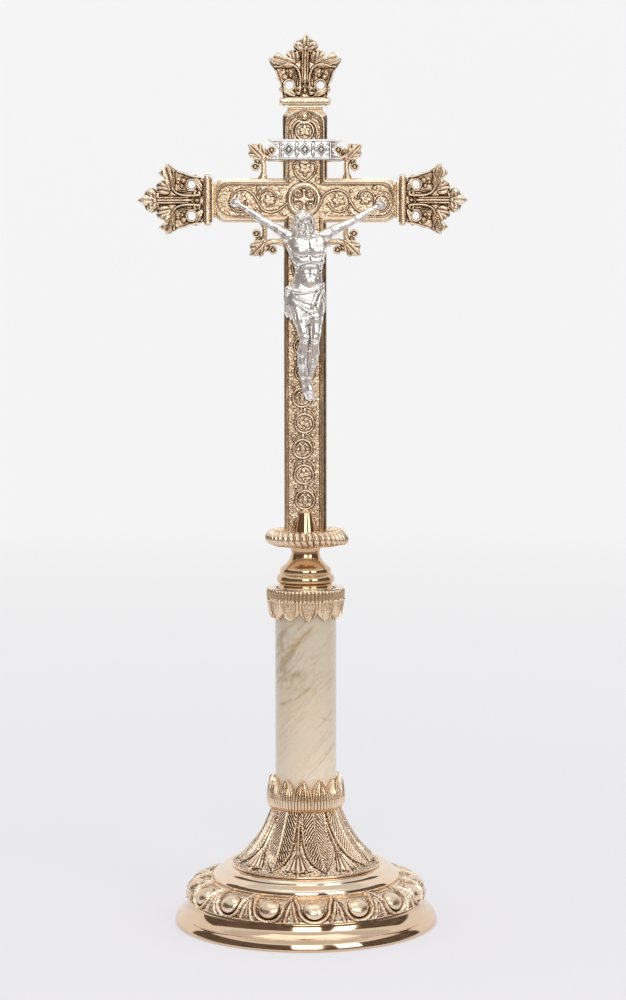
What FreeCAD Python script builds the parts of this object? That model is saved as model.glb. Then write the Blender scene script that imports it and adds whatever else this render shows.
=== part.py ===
import FreeCAD, Part
import Sketcher
import math
import os
from FreeCAD import Vector, Placement, Rotation

# Altar cross: a cast and turned brass stand with a stone column, carrying a
# cast Latin cross with leaf ends, a figure and a ribbon plate.
# Units are millimetres.  +Z is up, the front of the cross faces -Y, and the
# origin is the centre of the underside of the base.

doc = FreeCAD.newDocument("altar_cross")

# ---------------------------------------------------------------- sheet
sheet = doc.addObject("Spreadsheet::Sheet", "Sizes")
SIZES = [
    # base
    ("base_radius", 65.5), ("rim_band_top", 5.0), ("rim_top", 12.0),
    ("rim_top_radius", 58.4), ("rim_inner_radius", 50.0),
    ("egg_ring_radius", 58.6), ("egg_ring_top", 22.0), ("egg_ring_inner", 44.0),
    ("egg_count", 16), ("egg_size", 4.2), ("egg_circle", 54.5), ("egg_level", 17.0),
    ("dome_radius", 46.5), ("dome_step", 24.4), ("dome_top", 29.0), ("dome_hole", 31.0),
    # leaf foot
    ("foot_radius", 36.5), ("foot_top", 58.0), ("foot_neck_radius", 17.3), ("foot_wall", 3.0),
    # column and its leaf cups
    ("cup_radius", 18.9), ("cup_seat", 61.0), ("cup_tip", 74.2), ("cup_valley", 68.0),
    ("leaf_count", 12), ("column_radius", 15.0), ("column_fit", 0.15),
    ("gasket_thick", 0.8), ("column_top", 164.2), ("column_bore", 4.0),
    ("cap_radius", 18.9), ("cap_top", 167.0), ("cap_tip", 152.3), ("cap_valley", 157.0),
    # neck and collar
    ("knop_radius", 14.2), ("knop_waist", 7.1), ("knop_top", 188.6),
    ("collar_radius", 20.0), ("collar_top", 195.5), ("collar_floor", 192.2),
    # ferrule
    ("cone_foot_radius", 6.6), ("cone_tip_radius", 4.2), ("cone_top", 205.6), ("thread_top", 203.0),
    # cross
    ("cross_thick", 8.0), ("shaft_half", 10.4), ("upper_half", 10.85),
    ("arm_centre", 357.8), ("arm_end", 44.2), ("arm_shoulder", 39.6), ("neck_half", 8.5),
    ("cross_top", 401.8), ("top_shoulder", 397.2), ("border_wide", 3.6), ("panel_deep", 1.2),
    ("roundel_radius", 8.3), ("roundel_hole", 6.4),
    # finials
    ("finial_thick", 4.4), ("band_half", 12.4), ("band_thick", 9.0), ("finial_length", 37.0),
    ("stud_radius", 1.5), ("stud_half_long", 4.0),
    # corner leaves
    ("corner_thick", 3.0),
    # ribbon plate
    ("ribbon_thick", 1.3), ("ribbon_low", 377.0), ("ribbon_high", 387.5),
    # rivets
    ("rivet_radius", 0.8), ("rivet_head", 1.3), ("rivet_fit", 0.05),
    # tie rod set
    ("rod_radius", 3.0), ("rod_clear", 3.3), ("rod_foot", 1.0),
    ("plate_radius", 54.0), ("plate_low", 7.5), ("plate_high", 9.5),
    ("washer_radius", 6.0), ("washer_thick", 1.5), ("nut_flats", 10.0), ("nut_high", 5.0),
]
V = {}
for row, (name, value) in enumerate(SIZES, start=1):
    sheet.set("A%d" % row, name)
    sheet.set("B%d" % row, repr(value))
    sheet.setAlias("B%d" % row, name)
    V[name] = float(value)
doc.recompute()


def val(e):
    """Number for a plain value or for an expression written in sheet aliases."""
    if isinstance(e, str):
        return float(number_of(e))
    return float(e)


def number_of(text):
    # sums and differences of aliases and numbers, e.g. "cup_radius - 3.2"
    total, sign = 0.0, 1.0
    for token in text.split():
        if token == "+":
            sign = 1.0
        elif token == "-":
            sign = -1.0
        else:
            total += sign * (V[token] if token in V else float(token))
            sign = 1.0
    return total


def bound(text):
    """The same expression with each alias read from the sheet."""
    out = []
    for token in text.split():
        out.append("Sizes." + token if token in V else token)
    return " ".join(out)


def plane(body, role):
    for feature in body.Origin.OriginFeatures:
        if feature.Role == role:
            return feature
    raise RuntimeError("no plane " + role)


def new_body(label):
    body = doc.addObject("PartDesign::Body", label)
    body.Label = label
    return body


def closed_profile(body, name, points, role="XZ_Plane", offset=None):
    """A closed sketch.  Each entry is (x, y) or (x, y, mid_x, mid_y): the second
    form leaves the vertex by an arc through the mid point.  x and y are numbers
    or expressions, and every vertex is held by them."""
    sk = body.newObject("Sketcher::SketchObject", name)
    sk.AttachmentSupport = [(plane(body, role), "")]
    sk.MapMode = "FlatFace"
    if offset is not None:
        sk.AttachmentOffset = Placement(Vector(0, 0, offset), Rotation())
    n = len(points)
    xy = [Vector(val(p[0]), val(p[1]), 0) for p in points]
    ends = []
    for i in range(n):
        a, b = xy[i], xy[(i + 1) % n]
        if len(points[i]) > 2:
            mid = Vector(val(points[i][2]), val(points[i][3]), 0)
            # an arc in a sketch runs anticlockwise, so a clockwise one is drawn from its far end
            if (mid - a).cross(b - mid).z > 0:
                g = sk.addGeometry(Part.Arc(a, mid, b), False)
                ends.append((g, 1, 2))
            else:
                g = sk.addGeometry(Part.Arc(b, mid, a), False)
                ends.append((g, 2, 1))
        else:
            g = sk.addGeometry(Part.LineSegment(a, b), False)
            ends.append((g, 1, 2))
    rules, formulas = [], []
    for i in range(n):
        j = (i + 1) % n
        rules.append(Sketcher.Constraint("Coincident", ends[i][0], ends[i][2], ends[j][0], ends[j][1]))
    for i in range(n):
        g, s, _ = ends[i]
        for axis, kind, other in ((0, "DistanceX", -2), (1, "DistanceY", -1)):
            number = xy[i][axis]
            if abs(number) < 1e-9:
                rules.append(Sketcher.Constraint("PointOnObject", g, s, other))
                continue
            rules.append(Sketcher.Constraint(kind, -1, 1, g, s, number))
            if isinstance(points[i][axis], str):
                formulas.append((len(rules) - 1, bound(points[i][axis])))
        if len(points[i]) > 2:
            # one coordinate of the centre settles the arc on its chord's bisector
            centre = sk.Geometry[g].Center
            chord = xy[(i + 1) % n] - xy[i]
            axis, kind, other = (0, "DistanceX", -2) if abs(chord.y) > abs(chord.x) else (1, "DistanceY", -1)
            if abs(centre[axis]) < 1e-9:
                rules.append(Sketcher.Constraint("PointOnObject", g, 3, other))
            else:
                rules.append(Sketcher.Constraint(kind, -1, 1, g, 3, centre[axis]))
    sk.addConstraint(rules)
    for index, text in formulas:
        sk.setExpression("Constraints[%d]" % index, text)
    return sk


def turned(label, points):
    """A turned or round cast piece: one closed section revolved about Z."""
    body = new_body(label)
    sk = closed_profile(body, label + "_section", points)
    rev = body.newObject("PartDesign::Revolution", label + "_turning")
    rev.Profile = sk
    rev.ReferenceAxis = (sk, ["V_Axis"])
    rev.Angle = 360.0
    sk.Visibility = False
    doc.recompute()
    return body


def pad(body, sk, thick, name, midplane=True, reverse=False):
    feature = body.newObject("PartDesign::Pad", name)
    feature.Profile = sk
    if isinstance(thick, str):
        feature.Length = val(thick)
        feature.setExpression("Length", bound(thick))
    else:
        feature.Length = thick
    feature.Midplane = midplane
    feature.Reversed = reverse
    doc.recompute()
    return feature


def pocket(body, sk, name, depth=None, reverse=False, through=False):
    """A pocket whose direction is proved by the volume it removes."""
    before = body.Shape.Volume
    feature = body.newObject("PartDesign::Pocket", name)
    feature.Profile = sk
    if through:
        feature.Type = 1
        feature.Midplane = True
    else:
        feature.Length = val(depth)
        if isinstance(depth, str):
            feature.setExpression("Length", bound(depth))
        feature.Reversed = reverse
    doc.recompute()
    if body.Shape.Volume > before - 1e-3:
        feature.Reversed = not feature.Reversed
        doc.recompute()
    if body.Shape.Volume > before - 1e-3:
        raise RuntimeError("pocket %s removes nothing" % name)
    return feature


def polar(body, feature, count, name):
    before = body.Shape.Volume
    pattern = body.newObject("PartDesign::PolarPattern", name)
    pattern.Originals = [feature]
    for f in body.Origin.OriginFeatures:
        if f.Role == "Z_Axis":
            pattern.Axis = (f, [""])
    pattern.Angle = 360.0
    pattern.Occurrences = int(val(count))
    if isinstance(count, str):
        pattern.setExpression("Occurrences", bound(count))
    body.Tip = pattern
    doc.recompute()
    if abs(body.Shape.Volume - before) < 1e-3:
        raise RuntimeError("pattern %s changes nothing" % name)
    return pattern


PARTS = []

# ---------------------------------------------------------------- base
# Rim: a plain band at the table, a hollow (cavetto) above it and a flat seat.
PARTS.append(turned("base_rim", [
    ("base_radius - 4.0", 0.0), ("base_radius - 0.5", 0.0), ("base_radius", 1.2),
    ("base_radius - 1.5", "rim_band_top"), ("base_radius - 2.6", 5.7, 60.1, 8.1),
    ("rim_top_radius", "rim_top"), ("rim_inner_radius", "rim_top"),
    ("rim_inner_radius", "plate_high"), (56.2, "plate_high"), (59.4, 5.0),
]))

# Egg and dart ring: an ovolo carrying a ring of round eggs.
egg_ring = turned("egg_and_dart_ring", [
    ("rim_inner_radius", "rim_top"), ("rim_top_radius - 0.2", "rim_top"),
    ("egg_ring_radius", 14.6, 57.4, 18.3), (53.6, 21.0), (49.6, "egg_ring_top"),
    ("egg_ring_inner", "egg_ring_top"), ("egg_ring_inner", 19.4), ("rim_inner_radius", 16.2),
])
egg = egg_ring.newObject("PartDesign::AdditiveEllipsoid", "egg")
egg.Radius1, egg.Radius2, egg.Radius3 = V["egg_size"], V["egg_size"], V["egg_size"]
for prop in ("Radius1", "Radius2", "Radius3"):
    egg.setExpression(prop, "Sizes.egg_size")
egg.Angle1, egg.Angle2, egg.Angle3 = -90, 90, 360
egg.Placement = Placement(Vector(V["egg_circle"], 0, V["egg_level"]), Rotation())
egg.setExpression("Placement.Base.x", "Sizes.egg_circle")
egg.setExpression("Placement.Base.z", "Sizes.egg_level")
doc.recompute()
polar(egg_ring, egg, "egg_count", "eggs")
PARTS.append(egg_ring)

# Dome: a short upright step and a low crowned top, hollow below.
PARTS.append(turned("base_dome", [
    ("egg_ring_inner", "egg_ring_top"), ("dome_radius", "egg_ring_top"),
    ("dome_radius", "dome_step"), (46.0, 24.9, 41.8, 27.1), (37.2, "dome_top"),
    ("dome_hole", "dome_top"), ("dome_hole", 26.4), (41.0, 24.6), ("egg_ring_inner", 23.2),
]))

# Leaf foot: a hollow trumpet with a pierced web at its top.
PARTS.append(turned("leaf_flare_foot", [
    ("dome_hole", "dome_top"), ("foot_radius", "dome_top"), ("foot_radius", 30.2),
    (35.4, 30.8, 26.6, 39.6), (20.6, 48.4, 18.6, 53.2), ("foot_neck_radius", "foot_top"),
    ("rod_clear", "foot_top"), ("rod_clear", "foot_top - 3.0"), (14.6, "foot_top - 3.0"),
    (15.8, 50.6), (18.6, 44.2), (24.2, 36.6), (30.6, 31.2),
]))

# Lower leaf cup: twelve upright leaves around the foot of the column.
cup = turned("lower_leaf_cup", [
    ("rod_clear", "foot_top"), ("foot_neck_radius", "foot_top"),
    ("cup_radius", 61.2), ("cup_radius", 65.8, 18.4, 70.2), ("cup_radius - 1.9", "cup_tip"),
    ("column_radius + column_fit", "cup_tip"), ("column_radius + column_fit", "cup_seat"),
    ("rod_clear", "cup_seat"),
])


def leaf_gap(body, low, high, half, name):
    """One V-shaped gap between two leaf tips, cut outward through the wall."""
    sk = body.newObject("Sketcher::SketchObject", name)
    sk.AttachmentSupport = [(plane(body, "XZ_Plane"), "")]
    sk.MapMode = "FlatFace"
    apex, mouth = val(low), val(high)
    pts = [Vector(0, apex, 0), Vector(half * 0.62, (apex + mouth) / 2, 0), Vector(half, mouth, 0),
           Vector(-half, mouth, 0), Vector(-half * 0.62, (apex + mouth) / 2, 0)]
    ids = []
    for i in range(5):
        ids.append(sk.addGeometry(Part.LineSegment(pts[i], pts[(i + 1) % 5]), False))
    for i in range(5):
        sk.addConstraint(Sketcher.Constraint("Coincident", ids[i], 2, ids[(i + 1) % 5], 1))
    for i, p in enumerate(pts):
        for axis, kind, other in ((0, "DistanceX", -2), (1, "DistanceY", -1)):
            if abs(p[axis]) < 1e-9:
                sk.addConstraint(Sketcher.Constraint("PointOnObject", ids[i], 1, other))
            else:
                c = sk.addConstraint(Sketcher.Constraint(kind, -1, 1, ids[i], 1, p[axis]))
                if axis == 1 and i == 0 and isinstance(low, str):
                    sk.setExpression("Constraints[%d]" % c, bound(low))
    doc.recompute()
    return sk


gap_sk = leaf_gap(cup, "cup_valley", "cup_tip + 0.5", 4.4, "cup_gap_shape")
gap = pocket(cup, gap_sk, "cup_gap", depth=30.0)
polar(cup, gap, "leaf_count", "cup_gaps")
PARTS.append(cup)

# Column with its two soft seats.
PARTS.append(turned("lower_column_gasket", [
    ("column_bore", "cup_seat"), ("column_radius - 0.2", "cup_seat"),
    ("column_radius - 0.2", "cup_seat + gasket_thick"), ("column_bore", "cup_seat + gasket_thick"),
]))
PARTS.append(turned("marble_column", [
    ("column_bore", "cup_seat + gasket_thick"), ("column_radius - 0.4", "cup_seat + gasket_thick"),
    ("column_radius", "cup_seat + gasket_thick + 0.4"), ("column_radius", "column_top - 0.4"),
    ("column_radius - 0.4", "column_top"), ("column_bore", "column_top"),
]))
PARTS.append(turned("upper_column_gasket", [
    ("column_bore", "column_top"), ("column_radius - 0.2", "column_top"),
    ("column_radius - 0.2", "column_top + gasket_thick"), ("column_bore", "column_top + gasket_thick"),
]))

# Upper leaf cap: a fluted band over twelve hanging leaves.
cap = turned("upper_leaf_cap", [
    ("rod_clear", "column_top + gasket_thick"), ("column_radius + column_fit", "column_top + gasket_thick"),
    ("column_radius + column_fit", "cap_tip"), ("cap_radius - 1.9", "cap_tip", 18.2, 158.4),
    ("cap_radius", 163.0), ("cap_radius", "cap_top - 0.5"), ("cap_radius - 0.5", "cap_top"),
    ("rod_clear", "cap_top"),
])
gap_sk = leaf_gap(cap, "cap_valley", "cap_tip - 0.5", 4.4, "cap_gap_shape")
gap = pocket(cap, gap_sk, "cap_gap", depth=30.0)
polar(cap, gap, "leaf_count", "cap_gaps")
PARTS.append(cap)

# Neck: two rings, a hollow (scotia) and a flared top.
PARTS.append(turned("neck_knop", [
    ("rod_clear", "cap_top"), (13.4, "cap_top"), (13.2, 170.0), ("knop_radius - 0.1", 170.6),
    ("knop_radius", 172.4), (13.2, 174.3), (12.4, 174.6), (12.5, 177.0), (12.0, 178.0, 8.9, 180.9),
    ("knop_waist", 184.2), (7.3, 186.0), (8.6, "knop_top"), ("rod_clear", "knop_top"),
]))

# Collar: a round-edged dish whose floor carries the cross.
PARTS.append(turned("rope_collar", [
    ("rod_clear", "knop_top"), (14.0, "knop_top"), (18.2, 189.8), ("collar_radius", 192.2),
    (19.2, 194.4), (16.5, "collar_top"), (13.9, 194.4), (12.9, "collar_floor"),
    ("rod_clear", "collar_floor"),
]))

# Ferrule: a cone astride the foot of the cross, tapped from below.
PARTS.append(turned("cross_socket_cone", [
    ("rod_radius + 0.05", "collar_floor"), ("cone_foot_radius", "collar_floor"),
    ("cone_tip_radius", "cone_top"), ("cone_tip_radius - 1.6", "cone_top + 0.9"), (0.0, "cone_top + 1.2"),
    (0.0, "thread_top"), ("rod_radius + 0.05", "thread_top"),
]))

# ---------------------------------------------------------------- cross
cross = new_body("cross_body")
lo, hi = "arm_centre - upper_half", "arm_centre + upper_half"
cs = closed_profile(cross, "cross_outline", [
    ("shaft_half", "collar_floor"), ("shaft_half", lo), ("arm_shoulder", lo, 42.2, 348.0),
    (43.3, "arm_centre - neck_half"), ("arm_end", "arm_centre - neck_half"),
    ("arm_end", "arm_centre + neck_half"), (43.3, "arm_centre + neck_half", 42.2, 367.6), ("arm_shoulder", hi),
    ("upper_half", hi), ("upper_half", "top_shoulder", 10.0, 399.8),
    ("neck_half", 401.0), ("neck_half", "cross_top"),
    (-8.5, "cross_top"), (-8.5, 401.0, -10.0, 399.8), (-10.85, "top_shoulder"),
    (-10.85, hi), (-39.6, hi, -42.2, 367.6), (-43.3, "arm_centre + neck_half"),
    (-44.2, "arm_centre + neck_half"), (-44.2, "arm_centre - neck_half"),
    (-43.3, "arm_centre - neck_half", -42.2, 348.0), (-39.6, lo), (-10.4, lo), (-10.4, "collar_floor"),
])
pad(cross, cs, "cross_thick", "cross_plate")

# Recessed panel on the front, following the outline inside the bead border.
ps = closed_profile(cross, "panel_outline", [
    ("shaft_half - border_wide", "collar_floor + 2.4"), ("shaft_half - border_wide", "arm_centre - 7.25"),
    (37.2, "arm_centre - 7.25"), (38.6, "arm_centre - 4.9", 43.0, "arm_centre"), (38.6, "arm_centre + 4.9"),
    (37.2, "arm_centre + 7.25"), ("upper_half - border_wide", "arm_centre + 7.25"),
    ("upper_half - border_wide", 393.4), (4.9, 395.0, 0.0, 400.0), (-4.9, 395.0), (-7.25, 393.4),
    (-7.25, "arm_centre + 7.25"), (-37.2, "arm_centre + 7.25"), (-38.6, "arm_centre + 4.9", -43.0, "arm_centre"),
    (-38.6, "arm_centre - 4.9"), (-37.2, "arm_centre - 7.25"), (-6.8, "arm_centre - 7.25"),
    (-6.8, "collar_floor + 2.4"),
], offset=V["cross_thick"] / 2)
pocket(cross, ps, "panel_recess", depth="panel_deep")

# Tapered seat for the ferrule.
gs = closed_profile(cross, "ferrule_seat_section", [
    (0.0, "collar_floor - 1.0"), (6.779, "collar_floor - 1.0"), ("cone_foot_radius", "collar_floor"),
    ("cone_tip_radius", "cone_top"), ("cone_tip_radius - 1.6", "cone_top + 0.9"), (0.0, "cone_top + 1.2"),
])
before = cross.Shape.Volume
seat = cross.newObject("PartDesign::Groove", "ferrule_seat")
seat.Profile = gs
seat.ReferenceAxis = (gs, ["V_Axis"])
seat.Angle = 360.0
doc.recompute()
if cross.Shape.Volume > before - 1.0:
    raise RuntimeError("the ferrule seat removes nothing")

# Holes: three for the figure, two for the ribbon, three for the end studs.
HAND_L, HAND_R, FEET = (-34.2, 357.2), (36.6, 355.4), (2.7, 262.6)
RIBBON = [(-9.0, 382.25), (9.0, 382.25)]


def hole_sketch(body, name, centres, radius, role="XZ_Plane"):
    sk = body.newObject("Sketcher::SketchObject", name)
    sk.AttachmentSupport = [(plane(body, role), "")]
    sk.MapMode = "FlatFace"
    for x, y in centres:
        g = sk.addGeometry(Part.Circle(Vector(x, y, 0), Vector(0, 0, 1), val(radius)), False)
        c = sk.addConstraint(Sketcher.Constraint("Radius", g, val(radius)))
        sk.setExpression("Constraints[%d]" % c, bound(radius))
        if abs(x) > 1e-9:
            sk.addConstraint(Sketcher.Constraint("DistanceX", -1, 1, g, 3, x))
        else:
            sk.addConstraint(Sketcher.Constraint("PointOnObject", g, 3, -2))
        if abs(y) > 1e-9:
            sk.addConstraint(Sketcher.Constraint("DistanceY", -1, 1, g, 3, y))
        else:
            sk.addConstraint(Sketcher.Constraint("PointOnObject", g, 3, -1))
    doc.recompute()
    return sk


hs = hole_sketch(cross, "rivet_hole_shape", [HAND_L, HAND_R, FEET] + RIBBON, "rivet_radius + rivet_fit")
pocket(cross, hs, "rivet_holes", through=True)


def blind_hole(body, name, centre, direction, radius, depth):
    """A blind round hole from an end face, as a subtractive cylinder."""
    before = body.Shape.Volume
    c = body.newObject("PartDesign::SubtractiveCylinder", name)
    c.Radius = V[radius]
    c.setExpression("Radius", "Sizes." + radius)
    c.Height = V[depth]
    c.setExpression("Height", "Sizes." + depth)
    c.Angle = 360
    c.Placement = Placement(Vector(*centre), Rotation(Vector(0, 0, 1), Vector(*direction)))
    doc.recompute()
    if body.Shape.Volume > before - 1.0:
        raise RuntimeError("hole %s removes nothing" % name)
    return c


blind_hole(cross, "stud_hole_top", (0, 0, V["cross_top"]), (0, 0, -1), "stud_radius", "stud_half_long")
blind_hole(cross, "stud_hole_left", (-V["arm_end"], 0, V["arm_centre"]), (1, 0, 0), "stud_radius", "stud_half_long")
blind_hole(cross, "stud_hole_right", (V["arm_end"], 0, V["arm_centre"]), (-1, 0, 0), "stud_radius", "stud_half_long")
PARTS.append(cross)

# ---------------------------------------------------------------- finials
# One leaf end, drawn in its own frame: +Y of the sketch runs outward.
LEAF = [  # right half, from the band outward to the tip
    (10.6, 5.6), (11.6, 8.2), (12.8, 11.0), (13.0, 14.2), (15.4, 17.2), (17.7, 23.2),
    (14.8, 25.4), (12.0, 26.4), (9.4, 24.4), (8.4, 27.8), (5.4, 27.4), (5.9, 31.4), (3.2, 33.6),
]


def finial(label, place):
    body = new_body(label)
    out = [("neck_half", 0.0), ("band_half", 1.9), ("band_half", 5.6)]
    shape = closed_profile(body, label + "_band_outline",
                           [("neck_half", 0.0), ("band_half", 1.9), ("band_half", 5.6),
                            (-12.4, 5.6), (-12.4, 1.9), (-8.5, 0.0)])
    pad(body, shape, "band_thick", label + "_band")
    pts = [(x, y) for x, y in LEAF] + [(0.0, "finial_length")] + [(-x, y) for x, y in reversed(LEAF)]
    pts = pts + [(-10.6, 5.0), (10.6, 5.0)]
    leaf = closed_profile(body, label + "_leaf_outline", pts)
    pad(body, leaf, "finial_thick", label + "_leaf")
    holes = body.newObject("Sketcher::SketchObject", label + "_eye_shape")
    holes.AttachmentSupport = [(plane(body, "XZ_Plane"), "")]
    holes.MapMode = "FlatFace"
    for x in (-7.6, 7.6):
        g = holes.addGeometry(Part.Circle(Vector(x, 11.6, 0), Vector(0, 0, 1), 2.1), False)
        holes.addConstraint(Sketcher.Constraint("Radius", g, 2.1))
        holes.addConstraint(Sketcher.Constraint("DistanceX", -1, 1, g, 3, x))
        holes.addConstraint(Sketcher.Constraint("DistanceY", -1, 1, g, 3, 11.6))
    doc.recompute()
    pocket(body, holes, label + "_eyes", through=True)
    # raised midrib on the front and back faces
    rib = closed_profile(body, label + "_rib_outline", [(1.5, 5.0), (1.1, 26.0), (0.0, 32.0), (-1.1, 26.0), (-1.5, 5.0)])
    pad(body, rib, "finial_thick + 1.6", label + "_rib")
    blind_hole(body, label + "_stud_hole", (0, 0, 0), (0, 0, 1), "stud_radius", "stud_half_long")
    body.Placement = place
    return body


zc = V["arm_centre"]
PARTS.append(finial("finial_top", Placement(Vector(0, 0, V["cross_top"]), Rotation())))
PARTS.append(finial("finial_left", Placement(Vector(-V["arm_end"], 0, zc), Rotation(Vector(0, 1, 0), -90))))
PARTS.append(finial("finial_right", Placement(Vector(V["arm_end"], 0, zc), Rotation(Vector(0, 1, 0), 90))))

# Studs: one plain pin in each end joint.
stud_parts = []
for tag, centre, direction in (("top", (0, 0, V["cross_top"]), (0, 0, 1)),
                               ("left", (-V["arm_end"], 0, zc), (-1, 0, 0)),
                               ("right", (V["arm_end"], 0, zc), (1, 0, 0))):
    pin = doc.addObject("Part::Cylinder", "stud_" + tag)
    pin.Radius = V["stud_radius"]
    pin.setExpression("Radius", "Sizes.stud_radius")
    pin.Height = 2 * V["stud_half_long"]
    pin.setExpression("Height", "Sizes.stud_half_long * 2")
    d = Vector(*direction)
    pin.Placement = Placement(Vector(*centre) - d * V["stud_half_long"], Rotation(Vector(0, 0, 1), d))
    stud_parts.append(pin)
studs = doc.addObject("Part::Compound", "finial_studs")
studs.Label = "finial_studs"
studs.Links = stud_parts
PARTS.append(studs)

# ---------------------------------------------------------------- corner leaves
# A leaf on two stems set in the angle of the cross; +X and +Z are outward.
CORNER = [
    (8.9, 0.0), (11.6, 0.0), (11.8, 2.6), (12.4, 3.7), (13.8, 3.3), (15.2, 4.1), (15.8, 5.7),
    (15.2, 7.2), (14.0, 7.9), (14.4, 9.2), (16.0, 10.2), (16.6, 12.0), (16.2, 13.4), (17.2, 16.2),
    (13.4, 16.2), (12.0, 16.6), (10.2, 16.0), (9.2, 14.4), (7.9, 14.0), (7.2, 15.2), (5.7, 15.8),
    (4.1, 15.2), (3.3, 13.8), (3.7, 12.4), (2.6, 11.8), (0.0, 11.6), (0.0, 8.9), (5.4, 8.7),
    (7.6, 8.2), (8.2, 7.6), (8.7, 5.4),
]


def corner(label, sx, sz, level):
    body = new_body(label)
    half = 10.85 if sz > 0 else 10.4
    pts = []
    for x, z in CORNER:
        pts.append((sx * (half + x), sz * z))
    if sx * sz < 0:
        pts = list(reversed(pts))
    sk = closed_profile(body, label + "_outline", pts)
    pad(body, sk, "corner_thick", label + "_leaf")
    body.Placement = Placement(Vector(0, 0, level), Rotation())
    return body


PARTS.append(corner("corner_leaf_upper_left", -1, 1, zc + V["upper_half"]))
PARTS.append(corner("corner_leaf_upper_right", 1, 1, zc + V["upper_half"]))
PARTS.append(corner("corner_leaf_lower_left", -1, -1, zc - V["upper_half"]))
PARTS.append(corner("corner_leaf_lower_right", 1, -1, zc - V["upper_half"]))

# ---------------------------------------------------------------- ribbon plate
front = V["cross_thick"] / 2
ribbon = new_body("titulus_scroll")
rs = closed_profile(ribbon, "ribbon_outline", [
    (12.3, "ribbon_low"), (12.3, 376.4), (18.0, 377.4), (16.2, 381.4), (18.3, 386.8), (12.3, "ribbon_high"),
    (-12.3, "ribbon_high"), (-18.0, 387.1), (-15.4, 382.4), (-17.6, 378.2), (-12.3, 376.6), (-12.3, "ribbon_low"),
], offset=front)
pad(ribbon, rs, "ribbon_thick", "ribbon_plate", midplane=False)
if ribbon.Shape.BoundBox.YMin > -front - 0.1:
    ribbon.Tip.Reversed = True
    doc.recompute()
ws = closed_profile(ribbon, "ribbon_window", [
    (11.2, "ribbon_low + 1.1"), (11.2, "ribbon_high - 1.1"), (-11.2, "ribbon_high - 1.1"), (-11.2, "ribbon_low + 1.1"),
], offset=front + V["ribbon_thick"])
pocket(ribbon, ws, "ribbon_field", depth=0.4)
rh = hole_sketch(ribbon, "ribbon_hole_shape", RIBBON, "rivet_radius + rivet_fit")
pocket(ribbon, rh, "ribbon_holes", through=True)
PARTS.append(ribbon)


# ---------------------------------------------------------------- figure
def ball(x, y, z, r):
    return Part.makeSphere(r, Vector(x, y, z))


def limb(a, b, r1, r2):
    a, b = Vector(*a), Vector(*b)
    d = b - a
    return Part.makeCone(r1, r2, d.Length, a, d)


SECTIONS = [  # height, centre x, half width, half depth
    (341.5, 0.6, 7.8, 2.8), (336.0, 0.8, 9.4, 4.2), (329.0, 1.5, 7.6, 3.8), (322.5, 1.9, 6.5, 3.2),
    (314.0, 0.2, 8.6, 3.8), (304.0, 0.4, 9.0, 4.0), (296.0, 1.5, 6.9, 4.2), (290.0, 2.1, 5.2, 4.2),
    (282.0, 1.4, 5.0, 3.5), (272.0, 1.2, 3.9, 2.9), (264.0, 2.2, 3.0, 2.6), (259.0, 2.6, 2.2, 2.0),
]
rings = []
for z, cx, hw, hd in SECTIONS:
    e = Part.Ellipse(Vector(0, 0, 0), max(hw, hd), min(hw, hd))
    edge = e.toShape()
    edge.translate(Vector(cx, -front - 0.6 * hd - 1.0, z))
    rings.append(Part.Wire([edge]))
trunk = Part.makeLoft(rings, True, False)
solids = [ball(-1.4, -9.3, 347.6, 4.9), ball(-0.9, -9.4, 343.2, 4.4), limb((-0.6, -7.6, 345), (0.4, -7.0, 338), 2.6, 3.2)]
for side, hand in ((-1, HAND_L), (1, HAND_R)):
    sh, el, wr = (side * 8.6 + 0.8, -7.0, 338.6), (side * 20.0 + 0.8, -6.6, 345.8), (hand[0] * 0.93, -6.0, hand[1] - 1.6)
    solids += [ball(sh[0], sh[1], sh[2], 2.9), limb(sh, el, 2.5, 1.9), ball(el[0], el[1], el[2], 1.9),
               limb(el, wr, 1.9, 1.3), ball(wr[0], wr[1], wr[2], 1.3),
               ball(hand[0], -5.2, hand[1], 2.3)]
figure = trunk.multiFuse(solids)
keep = Part.makeBox(120, 30, 140, Vector(-60, -front - 30, 240))
figure = figure.common(keep)

def front_of(shape, x, z, r):
    """The frontmost Y of a shape under a round head at x, z."""
    probe = Part.makeCylinder(r, 40, Vector(x, 0, z), Vector(0, -1, 0))
    return shape.common(probe).optimalBoundingBox(False).YMin


HEAD_Y = {}
for hx, hz in (HAND_L, HAND_R, FEET):
    # a short boss behind each hand and the feet reaches the panel, and a flat seat takes the rivet's head
    boss = Part.makeCylinder(1.7, 2.2, Vector(hx, -front + V["panel_deep"], hz), Vector(0, -1, 0))
    figure = figure.fuse(boss)
    HEAD_Y[(hx, hz)] = front_of(figure, hx, hz, V["rivet_head"]) + 0.35
    seat_cut = Part.makeCylinder(V["rivet_head"] + 0.1, 20, Vector(hx, HEAD_Y[(hx, hz)], hz), Vector(0, -1, 0))
    bore = Part.makeCylinder(V["rivet_radius"] + V["rivet_fit"], 40, Vector(hx, 5, hz), Vector(0, -1, 0))
    figure = figure.cut(seat_cut).cut(bore)
figure = figure.removeSplitter()
corpus = doc.addObject("Part::Feature", "corpus")
corpus.Label = "corpus"
corpus.Shape = figure.Solids[0] if len(figure.Solids) == 1 else figure
PARTS.append(corpus)


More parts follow.
